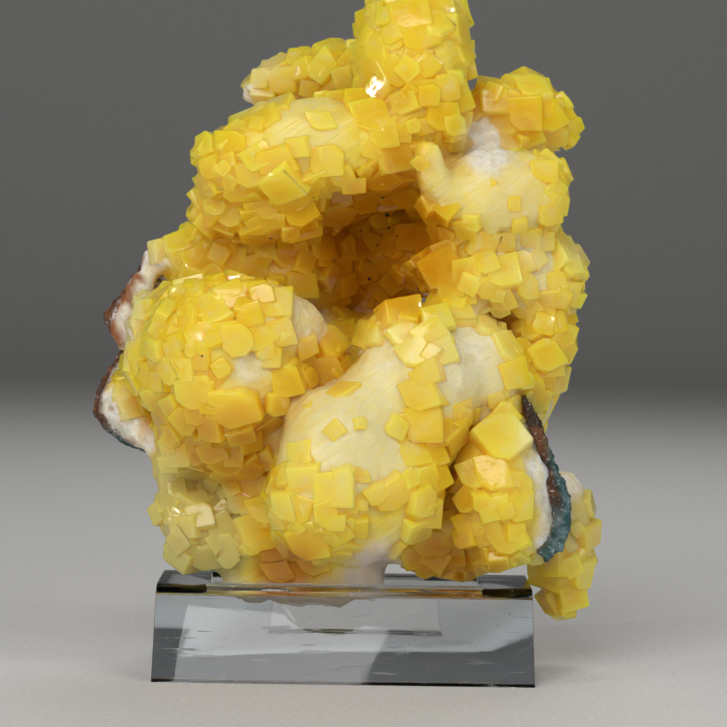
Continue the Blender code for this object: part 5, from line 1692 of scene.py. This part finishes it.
class SetStage(bpy.types.Operator):
    """Sets up the pale floor, the soft lights and the camera"""

    bl_idname = "minerals.set_stage"
    bl_label = "Set Stage"

    def execute(self, context):
        studio, colours = context.scene.cluster_studio, context.scene.cluster_colours
        backdrop = cyclorama(STAGE_SIDE, STAGE_HEIGHT, STAGE_CURVE)
        wear_coats(backdrop.data, [plain("studio_floor", colours.floor, 0.7)])
        middle = HOME + Vector((0, 0, LIT_HEIGHT)) * MM
        for name, (place, side, mirrored, through) in SOFTBOXES.items():
            watts = getattr(studio, f"{name}_power")
            area_light(name, place, middle, (side, side), watts, mirrored, through)
        for number, place in enumerate(SPARKS):
            area_light(f"spark_{number}", place, middle, SPARK_SIDES, studio.spark_power, True, False)
        world = bpy.data.worlds.new("studio")
        world.use_nodes = True
        world.node_tree.nodes["Background"].inputs["Strength"].default_value = studio.ambient
        world.cycles_visibility.glossy = False
        context.scene.world = world
        context.scene.view_settings.view_transform = "Standard"
        camera = bpy.data.cameras.new("camera")
        camera.sensor_width = SENSOR
        camera.lens = SENSOR * EYE_DISTANCE / VIEW_SIDE
        camera.clip_start = 0.01
        eye = new_object("camera", camera)
        eye.location = HOME + Vector((0, -EYE_DISTANCE, EYE_HEIGHT)) * MM
        ahead = HOME + Vector((VIEW_MIDDLE[0], 0, VIEW_MIDDLE[1])) * MM - eye.location
        level = ahead.to_track_quat("-Z", "Y").to_matrix()
        eye.rotation_euler = (Matrix.Rotation(math.radians(-EYE_ROLL), 3, ahead) @ level).to_euler()
        context.scene.camera = eye
        return {"FINISHED"}


class ClusterPanel(bpy.types.Panel):
    """The cluster's sizes and colours, and the steps that build it"""

    bl_idname = "VIEW3D_PT_heulandite_cluster"
    bl_label = "Heulandite Cluster"
    bl_space_type = "VIEW_3D"
    bl_region_type = "UI"
    bl_category = "Minerals"

    def draw(self, context):
        for group in GROUPS:
            column = self.layout.column(align=True)
            values = getattr(context.scene, group)
            for name in values.__annotations__:
                column.prop(values, name)
        for operator in STEPS:
            self.layout.operator(operator.bl_idname)


GROUPS = {
    "cluster_sizes": ClusterSizes,
    "cluster_colours": ClusterColours,
    "cluster_studio": ClusterStudio,
}
STEPS = (GrowCluster, BreakRocks, SprinkleSpecks, FoldRiser, SetStage)


def register():
    for made in (*GROUPS.values(), *STEPS, ClusterPanel):
        bpy.utils.register_class(made)
    for name, group in GROUPS.items():
        setattr(bpy.types.Scene, name, PointerProperty(type=group))


def unregister():
    for name in GROUPS:
        delattr(bpy.types.Scene, name)
    for made in reversed((*GROUPS.values(), *STEPS, ClusterPanel)):
        bpy.utils.unregister_class(made)


def main():
    register()
    bpy.ops.minerals.grow_cluster()
    bpy.ops.minerals.break_rocks()
    bpy.ops.minerals.sprinkle_specks()
    bpy.ops.minerals.fold_riser()
    bpy.ops.minerals.set_stage()
    shop = workshop()
    for thing in list(shop.objects):
        bpy.data.objects.remove(thing)
    bpy.data.collections.remove(shop)


if __name__ == "__main__":
    main()
